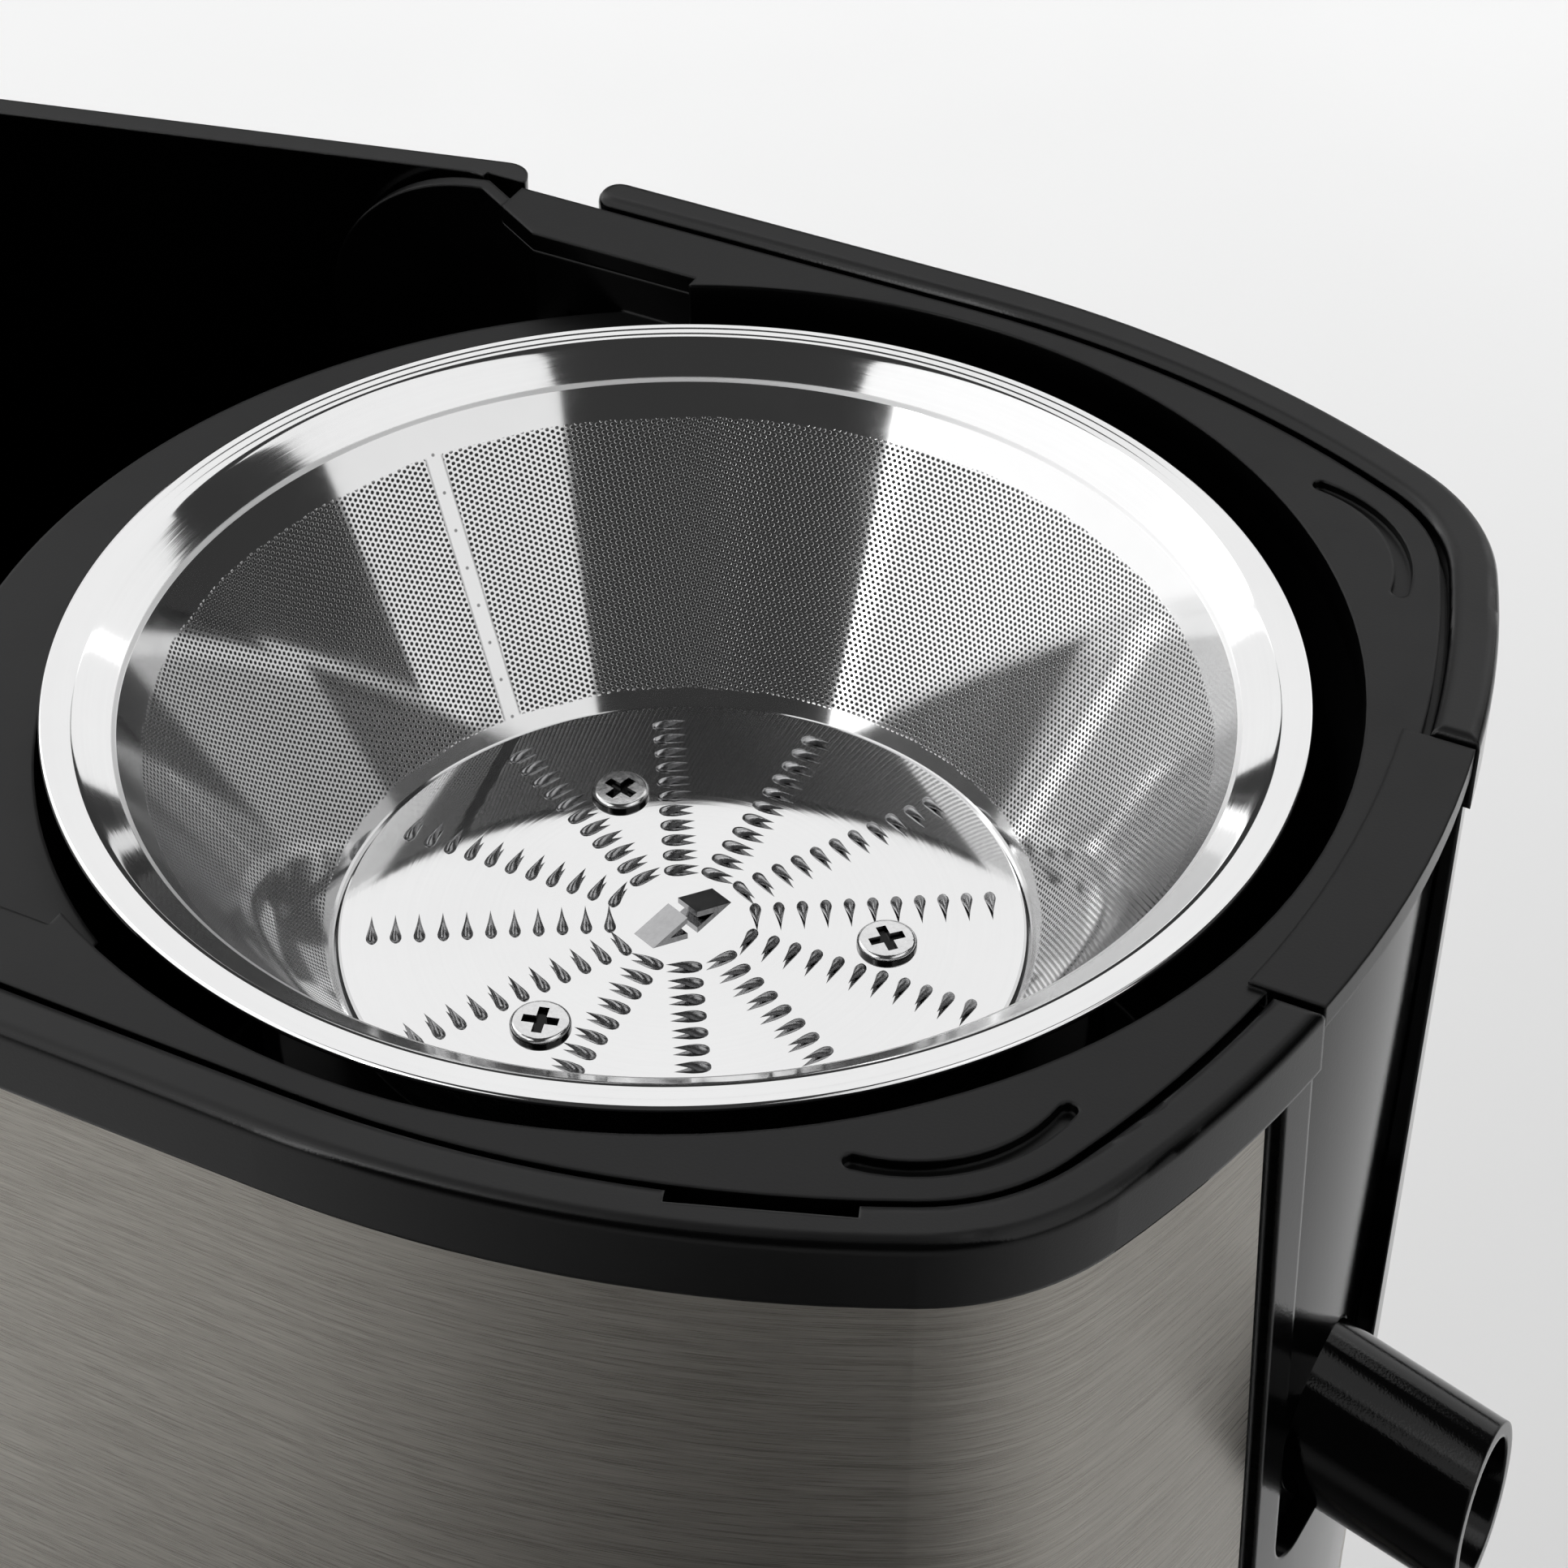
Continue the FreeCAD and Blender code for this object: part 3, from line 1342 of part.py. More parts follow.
def pieces():
    made = {
        "motor_housing": motor_housing(),
        "base_tub": base_tub(),
        "base_plate": base_plate(),
        "base_screws": base_screws(),
        "rubber_feet": rubber_feet(),
        "cord_gland": cord_gland(),
        "motor_deck": motor_deck(),
        "shaft_seal": shaft_seal(),
        "motor_dampers": motor_dampers(),
        "motor_bolts": motor_bolts(),
        "upper_motor_bracket": upper_bracket(),
        "lower_motor_bracket": lower_bracket(),
        "upper_bearing": shaft_bearing(upper_bar_bottom + bearing_floor),
        "lower_bearing": shaft_bearing(lower_boss_bottom),
        "stator_core": stator_core(),
        "field_coils": field_coils(),
        "brush_plate": brush_plate(),
        "brush_holders": brush_pair(brush_holder),
        "carbon_brushes": brush_pair(carbon_brush),
        "brush_springs": brush_pair(brush_spring),
        "control_board": control_board(),
        "rotary_switch": rotary_switch(),
        "knob_bezel": knob_bezel(),
        "interlock_switch": interlock_switch(),
        "interlock_spring": interlock_spring(),
        "motor_shaft": motor_shaft(),
        "rotor_core": rotor_core(),
        "rotor_windings": rotor_windings(),
        "commutator": commutator(),
        "cooling_fan": cooling_fan(),
        "drive_coupling": drive_coupling(),
        "basket_rim": basket_rim(),
        "filter_cone": filter_cone(),
        "grater_disc": grater_disc(),
        "disc_screws": disc_screws(),
        "basket_hub": basket_hub(),
        "juice_bowl": juice_bowl(),
        "bowl_dome": bowl_dome(),
        "bowl_apron": bowl_apron(),
        "pulp_chute": pulp_chute(),
        "juice_spout": juice_spout(),
        "pulp_bin": pulp_bin(),
        "control_knob": control_knob(),
        "knob_marker": marker_block(),
        "interlock_plunger": interlock_plunger(),
    }
    for name, side in SIDES.items():
        made[name + "_side_collar"] = top_collar(side)
        made[name + "_side_panel"] = side_panel(side)
    return made


def main():
    os.makedirs("parts", exist_ok=True)
    for name, shape in pieces().items():
        shape.translate(V(axis_x, plane_y, 0))
        shape.exportStep(os.path.join("parts", name + ".step"))


main()
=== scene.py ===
"""Looks of a centrifugal juicer: materials, finer basket and disc, floor, light and camera."""

import math

import bpy
from bpy.props import FloatProperty, FloatVectorProperty, IntProperty, PointerProperty
from mathutils import Matrix, Vector


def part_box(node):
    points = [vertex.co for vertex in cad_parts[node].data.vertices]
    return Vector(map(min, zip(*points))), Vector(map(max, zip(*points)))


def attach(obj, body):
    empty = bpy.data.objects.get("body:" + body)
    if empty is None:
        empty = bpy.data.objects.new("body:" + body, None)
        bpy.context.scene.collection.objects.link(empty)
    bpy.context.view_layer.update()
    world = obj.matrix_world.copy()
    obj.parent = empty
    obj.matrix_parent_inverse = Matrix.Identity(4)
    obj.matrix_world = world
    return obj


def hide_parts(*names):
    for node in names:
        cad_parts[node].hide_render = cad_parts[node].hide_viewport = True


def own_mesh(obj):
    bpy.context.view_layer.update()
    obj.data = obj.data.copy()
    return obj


bl_info = {
    "name": "Juicer looks",
    "version": (1, 0, 0),
    "blender": (4, 5, 0),
    "location": "View3D > Sidebar > Juicer",
    "description": "Builds the looks of a centrifugal juicer around its packed frame",
    "category": "Object",
}

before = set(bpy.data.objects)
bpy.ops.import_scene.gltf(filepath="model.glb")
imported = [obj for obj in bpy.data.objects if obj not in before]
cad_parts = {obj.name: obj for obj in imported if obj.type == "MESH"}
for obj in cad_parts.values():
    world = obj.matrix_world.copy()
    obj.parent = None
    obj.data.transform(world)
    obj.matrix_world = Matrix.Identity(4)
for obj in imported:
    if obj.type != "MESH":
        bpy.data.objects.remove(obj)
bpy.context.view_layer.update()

# Foot of the drive's axis
AXIS = Vector((0.032, 0.007, 0.0))

# Depths of surface marks and radii of softened edges and of the painted edge highlight, in metres
MARK_DEPTH = 0.0002
FINE_DEPTH = 0.0001
MOULDED_EDGE = 0.0003
GLOSS_EDGE = 0.0006
HIGHLIGHT_EDGE = 0.0004

# Band that holds most of a noise's values
NOISE_LOW = 0.3
NOISE_HIGH = 0.7

# Colours that several materials share
GLOSS_BLACK = (0.003, 0.003, 0.0032)
SATIN_BLACK = (0.0035, 0.0035, 0.0037)
BRIGHT_STEEL = (0.84, 0.84, 0.84)
GROUND_STEEL = (0.62, 0.62, 0.63)

# Stretch of tool marks that run no way in particular
EVEN = (1.0, 1.0, 1.0)

# Points along the rim's flare, bend, lip and rounded edge, and the lip's waviness in metres
FLARE_STEPS = 8
BEND_STEPS = 8
LIP_STEPS = 15
EDGE_STEPS = 12
LIP_RIPPLE = 0.00002

# Points up the filter, and the disc's bore, rounded edge in metres and rings of points
CONE_STEPS = 12
DISC_BORE = 0.0001
DISC_EDGE = 0.0003
DISC_RINGS = (0.95, 0.8, 0.6, 0.4, 0.2)

# Stations of a tooth: place along it, width, height and lift of its sides, as shares of its size
TOOTH_STATIONS = (
    (-0.42, 0.0, 0.0, 0.0),
    (-0.41, 0.42, 0.22, 0.0),
    (-0.37, 0.72, 0.42, 0.0),
    (-0.29, 0.94, 0.62, 0.0),
    (-0.18, 1.0, 0.80, 0.0),
    (-0.06, 0.84, 0.92, 0.0),
    (0.08, 0.58, 0.96, 0.15),
    (0.24, 0.34, 0.88, 0.34),
    (0.42, 0.14, 0.76, 0.50),
    (0.58, 0.0, 0.62, 0.62),
)
TOOTH_SIDES = 8
TOOTH_CROWN = 1.5

# Faces of a tab by its corners: upper four first, each from the foot to the tip
TAB_FACES = ((0, 1, 3, 2), (4, 6, 7, 5), (0, 2, 6, 4), (1, 5, 7, 3), (2, 3, 7, 6), (0, 4, 5, 1))

# Points round one turn of a spring and round its wire
COIL_STEPS = 24
WIRE_SIDES = 8

# Stage: half the floor's width and the height that lights aim at in metres, and the room's glow
FLOOR_HALF = 6.0
AIM_HEIGHT = 0.2
ROOM_GLOW = 0.04

# Lights: name, bearing and rise in degrees, distance, width and height in metres, glow.
# The first lights the floor, and the cards are seen only in reflections.
FLOOR_LIGHT = ("floor light", 119.0, 38.0, 1.9, 1.4, 0.9, 11.6)
CARDS = (
    ("back", 119.0, 43.0, 1.8, 3.2, 0.96, 1.0),
    ("back left", 157.0, 13.0, 1.8, 1.1, 0.8, 1.0),
    ("back right", 81.0, 13.0, 1.8, 1.1, 0.8, 1.0),
    ("left", -155.0, 34.0, 1.3, 2.2, 1.9, 1.2),
    ("left edge", -112.0, 28.0, 1.3, 0.10, 1.3, 4.0),
    ("right", -10.0, 30.0, 1.3, 1.1, 1.5, 0.9),
    ("right top", 24.0, 65.0, 1.3, 0.9, 0.5, 1.0),
)

# Camera: sensor width in millimetres and nearest distance in metres
SENSOR_WIDTH = 36.0
CLIP_START = 0.01


class Wire:
    """A shader socket that takes part in Python arithmetic."""

    def __init__(self, graph, socket):
        self.graph = graph
        self.socket = socket

    def maths(self, operation, *others):
        inputs = dict(enumerate((self,) + others))
        return self.graph.out("ShaderNodeMath", {"operation": operation}, inputs)

    def __add__(self, other):
        return self.maths("ADD", other)

    def __sub__(self, other):
        return self.maths("SUBTRACT", other)

    def __rsub__(self, other):
        return self.maths("MULTIPLY_ADD", -1.0, other)

    def __mul__(self, other):
        return self.maths("MULTIPLY", other)

    def __pow__(self, other):
        return self.maths("POWER", other)

    def __neg__(self):
        return self.maths("MULTIPLY", -1.0)

    def __abs__(self):
        return self.maths("ABSOLUTE")

    def floor(self):
        return self.maths("FLOOR")

    def fraction(self):
        return self.maths("FRACT")

    def sine(self):
        return self.maths("SINE")

    def cosine(self):
        return self.maths("COSINE")

    def root(self):
        return self.maths("SQRT")

    def bearing(self, across):
        """The angle of the point (across, self) about the origin."""
        return self.maths("ARCTAN2", across)

    def most(self, other):
        return self.maths("MAXIMUM", other)

    def ramp(self, low, high, first=0.0, last=1.0):
        """Eases from first to last as the value goes from low to high."""
        inputs = {"Value": self, "From Min": low, "From Max": high, "To Min": first, "To Max": last}
        return self.graph.out("ShaderNodeMapRange", {"interpolation_type": "SMOOTHSTEP"}, inputs)

    def spread(self, first, last):
        """Eases from first to last over the values that a noise mostly takes."""
        return self.ramp(NOISE_LOW, NOISE_HIGH, first, last)


class Graph:
    """One material's shader, ending in a Principled surface."""

    def __init__(self, name):
        self.material = bpy.data.materials.new(name)
        self.material.use_nodes = True
        self.tree = self.material.node_tree
        self.tree.nodes.clear()
        self.surface = self.node("ShaderNodeBsdfPrincipled")
        end = self.node("ShaderNodeOutputMaterial")
        self.tree.links.new(self.surface.outputs[0], end.inputs["Surface"])

    def node(self, kind, settings=None, inputs=None):
        """A node of a kind, with its settings first and then its socket values or links."""
        made = self.tree.nodes.new(kind)
        for key, value in (settings or {}).items():
            setattr(made, key, value)
        for key, value in (inputs or {}).items():
            self.feed(made.inputs[key], value)
        return made

    def out(self, kind, settings=None, inputs=None, output=0):
        """One output of a new node, as a value to reckon with."""
        return Wire(self, self.node(kind, settings, inputs).outputs[output])

    def feed(self, socket, value):
        """Links a value to a socket, or sets the socket if the value is constant."""
        if isinstance(value, Wire):
            self.tree.links.new(value.socket, socket)
        else:
            socket.default_value = value

    def set(self, **values):
        """Feeds the surface: names are its socket names with underscores for spaces."""
        for key, value in values.items():
            self.feed(self.surface.inputs[key.replace("_", " ")], value)

    def place(self):
        """The object-space position as three values."""
        point = self.out("ShaderNodeTexCoord", output="Object")
        split = self.node("ShaderNodeSeparateXYZ", inputs={0: point})
        return [Wire(self, split.outputs[i]) for i in range(3)]

    def from_axis(self):
        """Two distances from the drive's axis, along X and Y, and the height."""
        x, y, z = self.place()
        return x - AXIS.x, y - AXIS.y, z

    def facing(self):
        """The object-space normal as three values."""
        normal = self.out("ShaderNodeTexCoord", output="Normal")
        split = self.node("ShaderNodeSeparateXYZ", inputs={0: normal})
        return [Wire(self, split.outputs[i]) for i in range(3)]

    def vector(self, x, y, z):
        return self.out("ShaderNodeCombineXYZ", inputs={0: x, 1: y, 2: z})

    def noise(self, scale, detail=3.0, rough=0.5, stretch=EVEN, at=None):
        """Soft noise over the object, or over a place that is given."""
        x, y, z = at or self.place()
        point = self.vector(x * stretch[0], y * stretch[1], z * stretch[2])
        inputs = {"Vector": point, "Scale": scale, "Detail": detail, "Roughness": rough}
        return self.out("ShaderNodeTexNoise", inputs=inputs)

    def cells(self, scale):
        """Distance from the nearest of scattered points."""
        x, y, z = self.place()
        return self.out("ShaderNodeTexVoronoi", inputs={"Vector": self.vector(x, y, z), "Scale": scale})

    def mix(self, factor, first, second):
        """A colour between two colours."""
        node = self.node("ShaderNodeMix", {"data_type": "RGBA"}, {0: factor})
        for socket, value in ((node.inputs[6], first), (node.inputs[7], second)):
            self.feed(socket, value if isinstance(value, Wire) else (*value, 1.0))
        return Wire(self, node.outputs[2])

    def softened(self, radius):
        """The normal with sharp edges rounded over a small radius."""
        return self.out("ShaderNodeBevel", {"samples": 6}, {"Radius": radius})

    def edge_highlight(self, radius):
        """Mask of a painted highlight: one along sharp edges and nought on open faces."""
        flat = self.out("ShaderNodeNewGeometry", output="Normal")
        inputs = {0: flat, 1: self.softened(radius)}
        along = self.out("ShaderNodeVectorMath", {"operation": "DOT_PRODUCT"}, inputs, "Value")
        return along.ramp(0.80, 0.99, first=1.0, last=0.0)

    def bump(self, height, strength, distance, edge=0.0):
        """A normal from a height, over edges that are softened by a small radius."""
        inputs = {"Height": height, "Strength": strength, "Distance": distance}
        if edge:
            inputs["Normal"] = self.softened(edge)
        return self.out("ShaderNodeBump", inputs=inputs)


def moulded(name, colour, rough, grain, grain_scale=2600.0):
    """Moulded plastic: fine grain, faint flow marks and a soft change of shine."""
    g = Graph(name)
    flow = g.noise(scale=18.0, detail=4.0, rough=0.6)
    fine = g.noise(scale=grain_scale, detail=2.0)
    dust = g.noise(scale=420.0, detail=5.0, rough=0.7).ramp(0.62, 0.8)
    lighter = [min(1.0, c * 1.5 + 0.002) for c in colour]
    g.set(Base_Color=g.mix(flow * 0.5 + dust * 0.35, colour, lighter))
    g.set(Roughness=flow.spread(rough * 0.85, rough * 1.2) + dust * 0.06, Specular_IOR_Level=0.4)
    g.set(Normal=g.bump(fine, strength=grain, distance=MARK_DEPTH, edge=MOULDED_EDGE))
    return g


def satin_top(name, colour, gloss_rough, satin_rough, gloss=0.4, edge_sheen=0.5):
    """Black moulding that is satin on its upward faces and glossy elsewhere, with a painted highlight along
    its sharp edges.
    """
    g = Graph(name)
    up = g.facing()[2].ramp(0.55, 0.9)
    flow = g.noise(scale=22.0, detail=4.0, rough=0.6)
    fine = g.noise(scale=3200.0, detail=2.0)
    smear = g.noise(scale=60.0, detail=5.0, rough=0.65, stretch=(1.0, 1.0, 0.4)).ramp(0.45, 0.75)
    lighter = [c * 1.6 + 0.001 for c in colour]
    plain = g.mix(flow * 0.4 + up * 0.35, colour, lighter)
    # Painted highlight: a lighter colour along sharp edges
    if edge_sheen:
        plain = g.mix(g.edge_highlight(HIGHLIGHT_EDGE) * edge_sheen, plain, (0.10, 0.10, 0.10))
    g.set(Base_Color=plain)
    rough = up * (satin_rough - gloss_rough) + gloss_rough
    g.set(Roughness=rough + smear * 0.05 + flow * 0.03, Specular_IOR_Level=gloss)
    g.set(Normal=g.bump(fine, strength=0.05, distance=MARK_DEPTH, edge=GLOSS_EDGE))
    return g


def worked_metal(name, colour, rough, stretch, scale=900.0, strength=0.08):
    """Metal with fine tool marks drawn out along one direction."""
    g = Graph(name)
    marks = g.noise(scale=scale, detail=4.0, rough=0.7, stretch=stretch)
    cloud = g.noise(scale=30.0)
    darker = [c * 0.72 for c in colour]
    g.set(Base_Color=g.mix(marks * 0.6 + cloud * 0.3, darker, colour))
    g.set(Metallic=1.0, Roughness=marks.spread(rough * 0.75, rough * 1.3))
    g.set(Normal=g.bump(marks, strength=strength, distance=MARK_DEPTH))
    return g


def brushed_panel(name):
    """Steel sheet brushed along its length."""
    g = Graph(name)
    x, y, z = g.place()
    spot = (y.bearing(x), 0.0, z)
    lines = g.noise(scale=7000.0, rough=0.75, stretch=(0.0015, 1.0, 1.0), at=spot)
    broad = g.noise(scale=1500.0, rough=0.6, stretch=(0.003, 1.0, 1.0), at=spot)
    streak = lines * 0.65 + broad * 0.35
    g.set(Base_Color=g.mix(streak.ramp(0.32, 0.68), (0.30, 0.28, 0.25), (0.52, 0.495, 0.45)))
    g.set(Metallic=1.0, Roughness=streak.spread(0.24, 0.34))
    g.set(Anisotropic=0.7, Anisotropic_Rotation=0.25)
    g.set(Normal=g.bump(streak, strength=0.10, distance=MARK_DEPTH))
    return g


def polished_steel(name, rough, join_z=0.0):
    """Mirror-polished sheet with turning rings, wipe marks and a dull line where it joins another."""
    g = Graph(name)
    dx, dy, z = g.from_axis()
    radius = (dx * dx + dy * dy).root()
    rings_per_metre = 2400.0
    spot = (radius * rings_per_metre, 0.0, z * rings_per_metre)
    rings = g.noise(scale=1.0, detail=2.0, rough=0.6, at=spot)
    wipe = g.noise(scale=45.0, detail=5.0, rough=0.7)
    g.set(Base_Color=g.mix(wipe * 0.4 + rings * 0.2, BRIGHT_STEEL, (0.70, 0.70, 0.705)))
    dull = abs(z - join_z).ramp(0.0001, 0.0003, first=0.45, last=0.0)
    wiped = wipe.ramp(0.4, 0.75, first=rough, last=rough * 1.8)
    g.set(Metallic=1.0, Roughness=rings * 0.03 + wiped + dull)
    g.set(Normal=g.bump(rings, strength=0.015, distance=FINE_DEPTH))
    return g


def screw_steel(name, face_z):
    """Bright screw heads with painted shade down in their recesses and round their feet."""
    g = Graph(name)
    z = g.place()[2]
    turned = g.noise(scale=2200.0, rough=0.6)
    # Painted shade: near black below the head's face and round its feet
    recess_shade = (z - face_z).ramp(0.0004, 0.0007, first=1.0, last=0.0)
    bright = g.mix(turned, (0.80, 0.80, 0.80), (0.60, 0.60, 0.605))
    g.set(Base_Color=g.mix(recess_shade, bright, (0.02, 0.02, 0.02)), Metallic=1.0)
    g.set(Roughness=turned.spread(0.10, 0.20))
    g.set(Normal=g.bump(turned, strength=0.05, distance=FINE_DEPTH))
    return g


def perforated_sheet(name, look):
    """Polished sheet with staggered round holes on the developed cone, and a plain welded seam."""
    g = Graph(name)
    dx, dy, z = g.from_axis()
    radius = (dx * dx + dy * dy).root()
    half = math.atan2(look.cone_top_radius - look.cone_foot_radius, look.cone_height)
    slant = radius * (1.0 / math.sin(half))

    # The seam's strip lies along one bearing, and the cone is opened out from the other side
    turn = look.seam_bearing
    aside = dy * math.cos(turn) - dx * math.sin(turn)
    along = dx * math.cos(turn) + dy * math.sin(turn)
    opened = (-aside).bearing(-along) * math.sin(half)

    # Rows of holes, every other one shifted by half a pitch
    row_share = math.sqrt(3.0) / 2.0
    across = slant * opened.sine() * (1.0 / look.hole_pitch)
    down = slant * opened.cosine() * (1.0 / (look.hole_pitch * row_share))
    shift = (down.floor() * 0.5).fraction()
    u = (across + shift).fraction() - 0.5
    v = (down.fraction() - 0.5) * row_share
    spot = (u * u + v * v).root() * look.hole_pitch
    blur = look.hole_pitch * 0.06
    hole = spot.ramp(look.hole_radius - blur, look.hole_radius + blur, first=1.0, last=0.0)

    # Holes stop at a slightly wavy line below the rim, above the foot and beside the seam
    low = look.cone_foot_z + look.plain_foot
    high = look.cone_foot_z + look.cone_height - look.plain_top
    fade = 0.0004
    wavy = z + g.noise(scale=160.0, detail=2.0) * 0.0008
    zone = wavy.ramp(low, low + fade) * wavy.ramp(high, high + fade, first=1.0, last=0.0)
    seam_side = along.ramp(0.0, 0.001)
    strip = abs(aside).ramp(look.seam_half_width, look.seam_half_width + 0.0002)
    strip = strip.most(1.0 - seam_side)
    hole = hole * zone * strip

    # Edges of the seam's strip and the welds along its middle
    edges = abs(abs(aside) - look.seam_half_width).ramp(0.0, 0.00025, first=1.0, last=0.0) * seam_side
    step = (slant * (1.0 / look.weld_pitch)).fraction() - 0.5
    weld = ((step * look.weld_pitch) ** 2.0 + aside ** 2.0).root()
    weld = weld.ramp(0.00012, 0.0003, first=1.0, last=0.0) * seam_side

    wipe = g.noise(scale=40.0, detail=5.0, rough=0.7)
    steel = g.mix(wipe * 0.5, BRIGHT_STEEL, (0.68, 0.68, 0.685))
    shade = (hole * 0.96).most(edges * zone * 0.45).most(weld * 0.7)
    g.set(Base_Color=g.mix(shade, steel, (0.012, 0.012, 0.013)))
    wiped = wipe.ramp(0.4, 0.75, first=0.07, last=0.13)
    g.set(Metallic=1.0 - hole * 0.85, Roughness=wiped + hole * 0.4)
    g.set(Normal=g.bump(1.0 - hole, strength=0.25, distance=0.0003))
    return g


def wound_copper(name):
    """Varnished winding wire lying in layers."""
    g = Graph(name)
    dx, dy, z = g.from_axis()
    strands = (dy.bearing(dx) * 90.0 + z * 900.0).sine() * 0.5 + 0.5
    cloud = g.noise(scale=90.0)
    g.set(Base_Color=g.mix(strands * 0.7 + cloud * 0.3, (0.22, 0.07, 0.025), (0.62, 0.28, 0.12)))
    g.set(Metallic=0.85, Roughness=strands.ramp(0.2, 0.9, first=0.42, last=0.25))
    g.set(Normal=g.bump(strands, strength=0.5, distance=0.0004))
    return g


def laminated_steel(name):
    """Stacked sheets seen from the edge."""
    g = Graph(name)
    sheets_per_metre = 2000.0
    sheets = (g.place()[2] * sheets_per_metre).fraction()
    rust = g.noise(scale=70.0, detail=5.0, rough=0.7)
    gaps = sheets.ramp(0.75, 1.0)
    g.set(Base_Color=g.mix(gaps * 0.7 + rust * 0.3, (0.30, 0.30, 0.31), (0.08, 0.075, 0.07)))
    g.set(Metallic=0.9, Roughness=rust.spread(0.35, 0.6))
    g.set(Normal=g.bump(sheets, strength=0.3, distance=MARK_DEPTH))
    return g


def circuit_board(name):
    """Lacquered board with tracks."""
    g = Graph(name)
    tracks = g.cells(scale=220.0).ramp(0.42, 0.5)
    cloud = g.noise(scale=50.0)
    g.set(Base_Color=g.mix(tracks, (0.02, 0.13, 0.06), (0.05, 0.24, 0.10)))
    g.set(Roughness=cloud.spread(0.3, 0.45))
    g.set(Normal=g.bump(tracks, strength=0.3, distance=FINE_DEPTH))
    return g


def floor_surface(name):
    """Pale floor with a faint cloud and grain."""
    g = Graph(name)
    cloud = g.noise(scale=3.0, detail=4.0)
    grain = g.noise(scale=500.0)
    g.set(Base_Color=g.mix(cloud, (0.80, 0.80, 0.80), (0.84, 0.84, 0.84)))
    g.set(Roughness=cloud.spread(0.35, 0.5))
    g.set(Normal=g.bump(grain, strength=0.02, distance=0.0005))
    return g


class JuicerLook(bpy.types.PropertyGroup):
    """Sizes of the finer pieces and their surface patterns."""

    rim_z: FloatProperty(
        name="Rim height", description="Height of the lip's middle", default=0.2285, unit="LENGTH")
    rim_radius: FloatProperty(
        name="Rim radius", description="Outer radius of the lip", default=0.0694, unit="LENGTH")
    lip_width: FloatProperty(
        name="Lip width", description="Width of the rolled lip", default=0.0028, unit="LENGTH")
    lip_height: FloatProperty(
        name="Lip height", description="Height of the rolled lip", default=0.0009, unit="LENGTH")
    lip_bend: FloatProperty(
        name="Lip bend", description="Width of the bend inside the lip", default=0.0011, unit="LENGTH")
    cone_top_radius: FloatProperty(
        name="Cone top", description="Filter radius at its top", default=0.0614, unit="LENGTH")
    cone_foot_radius: FloatProperty(
        name="Cone foot", description="Filter radius at its foot", default=0.04005, unit="LENGTH")
    cone_foot_z: FloatProperty(
        name="Foot height", description="Height of the filter's foot", default=0.1908, unit="LENGTH")
    cone_height: FloatProperty(
        name="Cone height", description="Height of the filter", default=0.0346, unit="LENGTH")
    sheet: FloatProperty(
        name="Sheet", description="Thickness of the basket's sheet", default=0.0006, unit="LENGTH")
    hole_pitch: FloatProperty(
        name="Hole pitch", description="Distance between holes", default=0.00072, unit="LENGTH")
    hole_radius: FloatProperty(
        name="Hole radius", description="Radius of a hole", default=0.00021, unit="LENGTH")
    plain_foot: FloatProperty(
        name="Plain foot", description="Plain strip at the filter's foot", default=0.0026, unit="LENGTH")
    plain_top: FloatProperty(
        name="Plain top", description="Plain strip at the filter's top", default=0.0036, unit="LENGTH")
    seam_bearing: FloatProperty(
        name="Seam bearing", description="Bearing of the welded seam", default=math.radians(148.6),
        subtype="ANGLE")
    seam_half_width: FloatProperty(
        name="Seam half width", description="Half the plain strip at the seam", default=0.0011,
        unit="LENGTH")
    weld_pitch: FloatProperty(
        name="Weld pitch", description="Distance between the seam's welds", default=0.0048, unit="LENGTH")
    disc_radius: FloatProperty(
        name="Disc radius", description="Radius of the grater disc", default=0.0399, unit="LENGTH")
    disc_top: FloatProperty(
        name="Disc top", description="Height of the disc's face", default=0.1916, unit="LENGTH")
    disc_sheet: FloatProperty(
        name="Disc sheet", description="Thickness of the disc", default=0.0008, unit="LENGTH")
    rows: IntProperty(name="Rows", description="Rows of teeth", default=12, min=1)
    row_bearing: FloatProperty(
        name="Row bearing", description="Bearing of the first row", default=math.radians(1.5),
        subtype="ANGLE")
    teeth: IntProperty(name="Teeth", description="Teeth in a row", default=11, min=2)
    row_start: FloatProperty(
        name="Row start", description="Radius of the innermost tooth", default=0.0085, unit="LENGTH")
    row_end: FloatProperty(
        name="Row end", description="Radius of the outermost tooth", default=0.036, unit="LENGTH")
    tooth_length: FloatProperty(
        name="Tooth length", description="Length of a tooth", default=0.0042, unit="LENGTH")
    tooth_width: FloatProperty(
        name="Tooth width", description="Width of a tooth", default=0.0014, unit="LENGTH")
    tooth_height: FloatProperty(
        name="Tooth height", description="Height of a tooth", default=0.0009, unit="LENGTH")
    tab_length: FloatProperty(
        name="Tab length", description="Distance of a tab's foot from the axis", default=0.0060,
        unit="LENGTH")
    tab_width: FloatProperty(
        name="Tab width", description="Width of a bent tab", default=0.0034, unit="LENGTH")
    tab_gap: FloatProperty(
        name="Tab gap", description="Length that a tab falls short of its foot's distance",
        default=0.0005, unit="LENGTH")
    tab_tilt: FloatProperty(
        name="Tab tilt", description="Rise of a bent tab", default=math.radians(17.0), subtype="ANGLE")
    tab_bearing: FloatProperty(
        name="Tab bearing", description="Bearing of the first tab", default=math.radians(69.0),
        subtype="ANGLE")
    spring_turns: IntProperty(
        name="Spring turns", description="Turns of the lid catch's spring", default=8, min=1)
    spring_wire: FloatProperty(
        name="Spring wire", description="Radius of the spring's wire", default=0.00014, unit="LENGTH")
    plunger_travel: FloatProperty(
        name="Plunger travel", description="Way that the plunger goes down", default=0.003, unit="LENGTH")


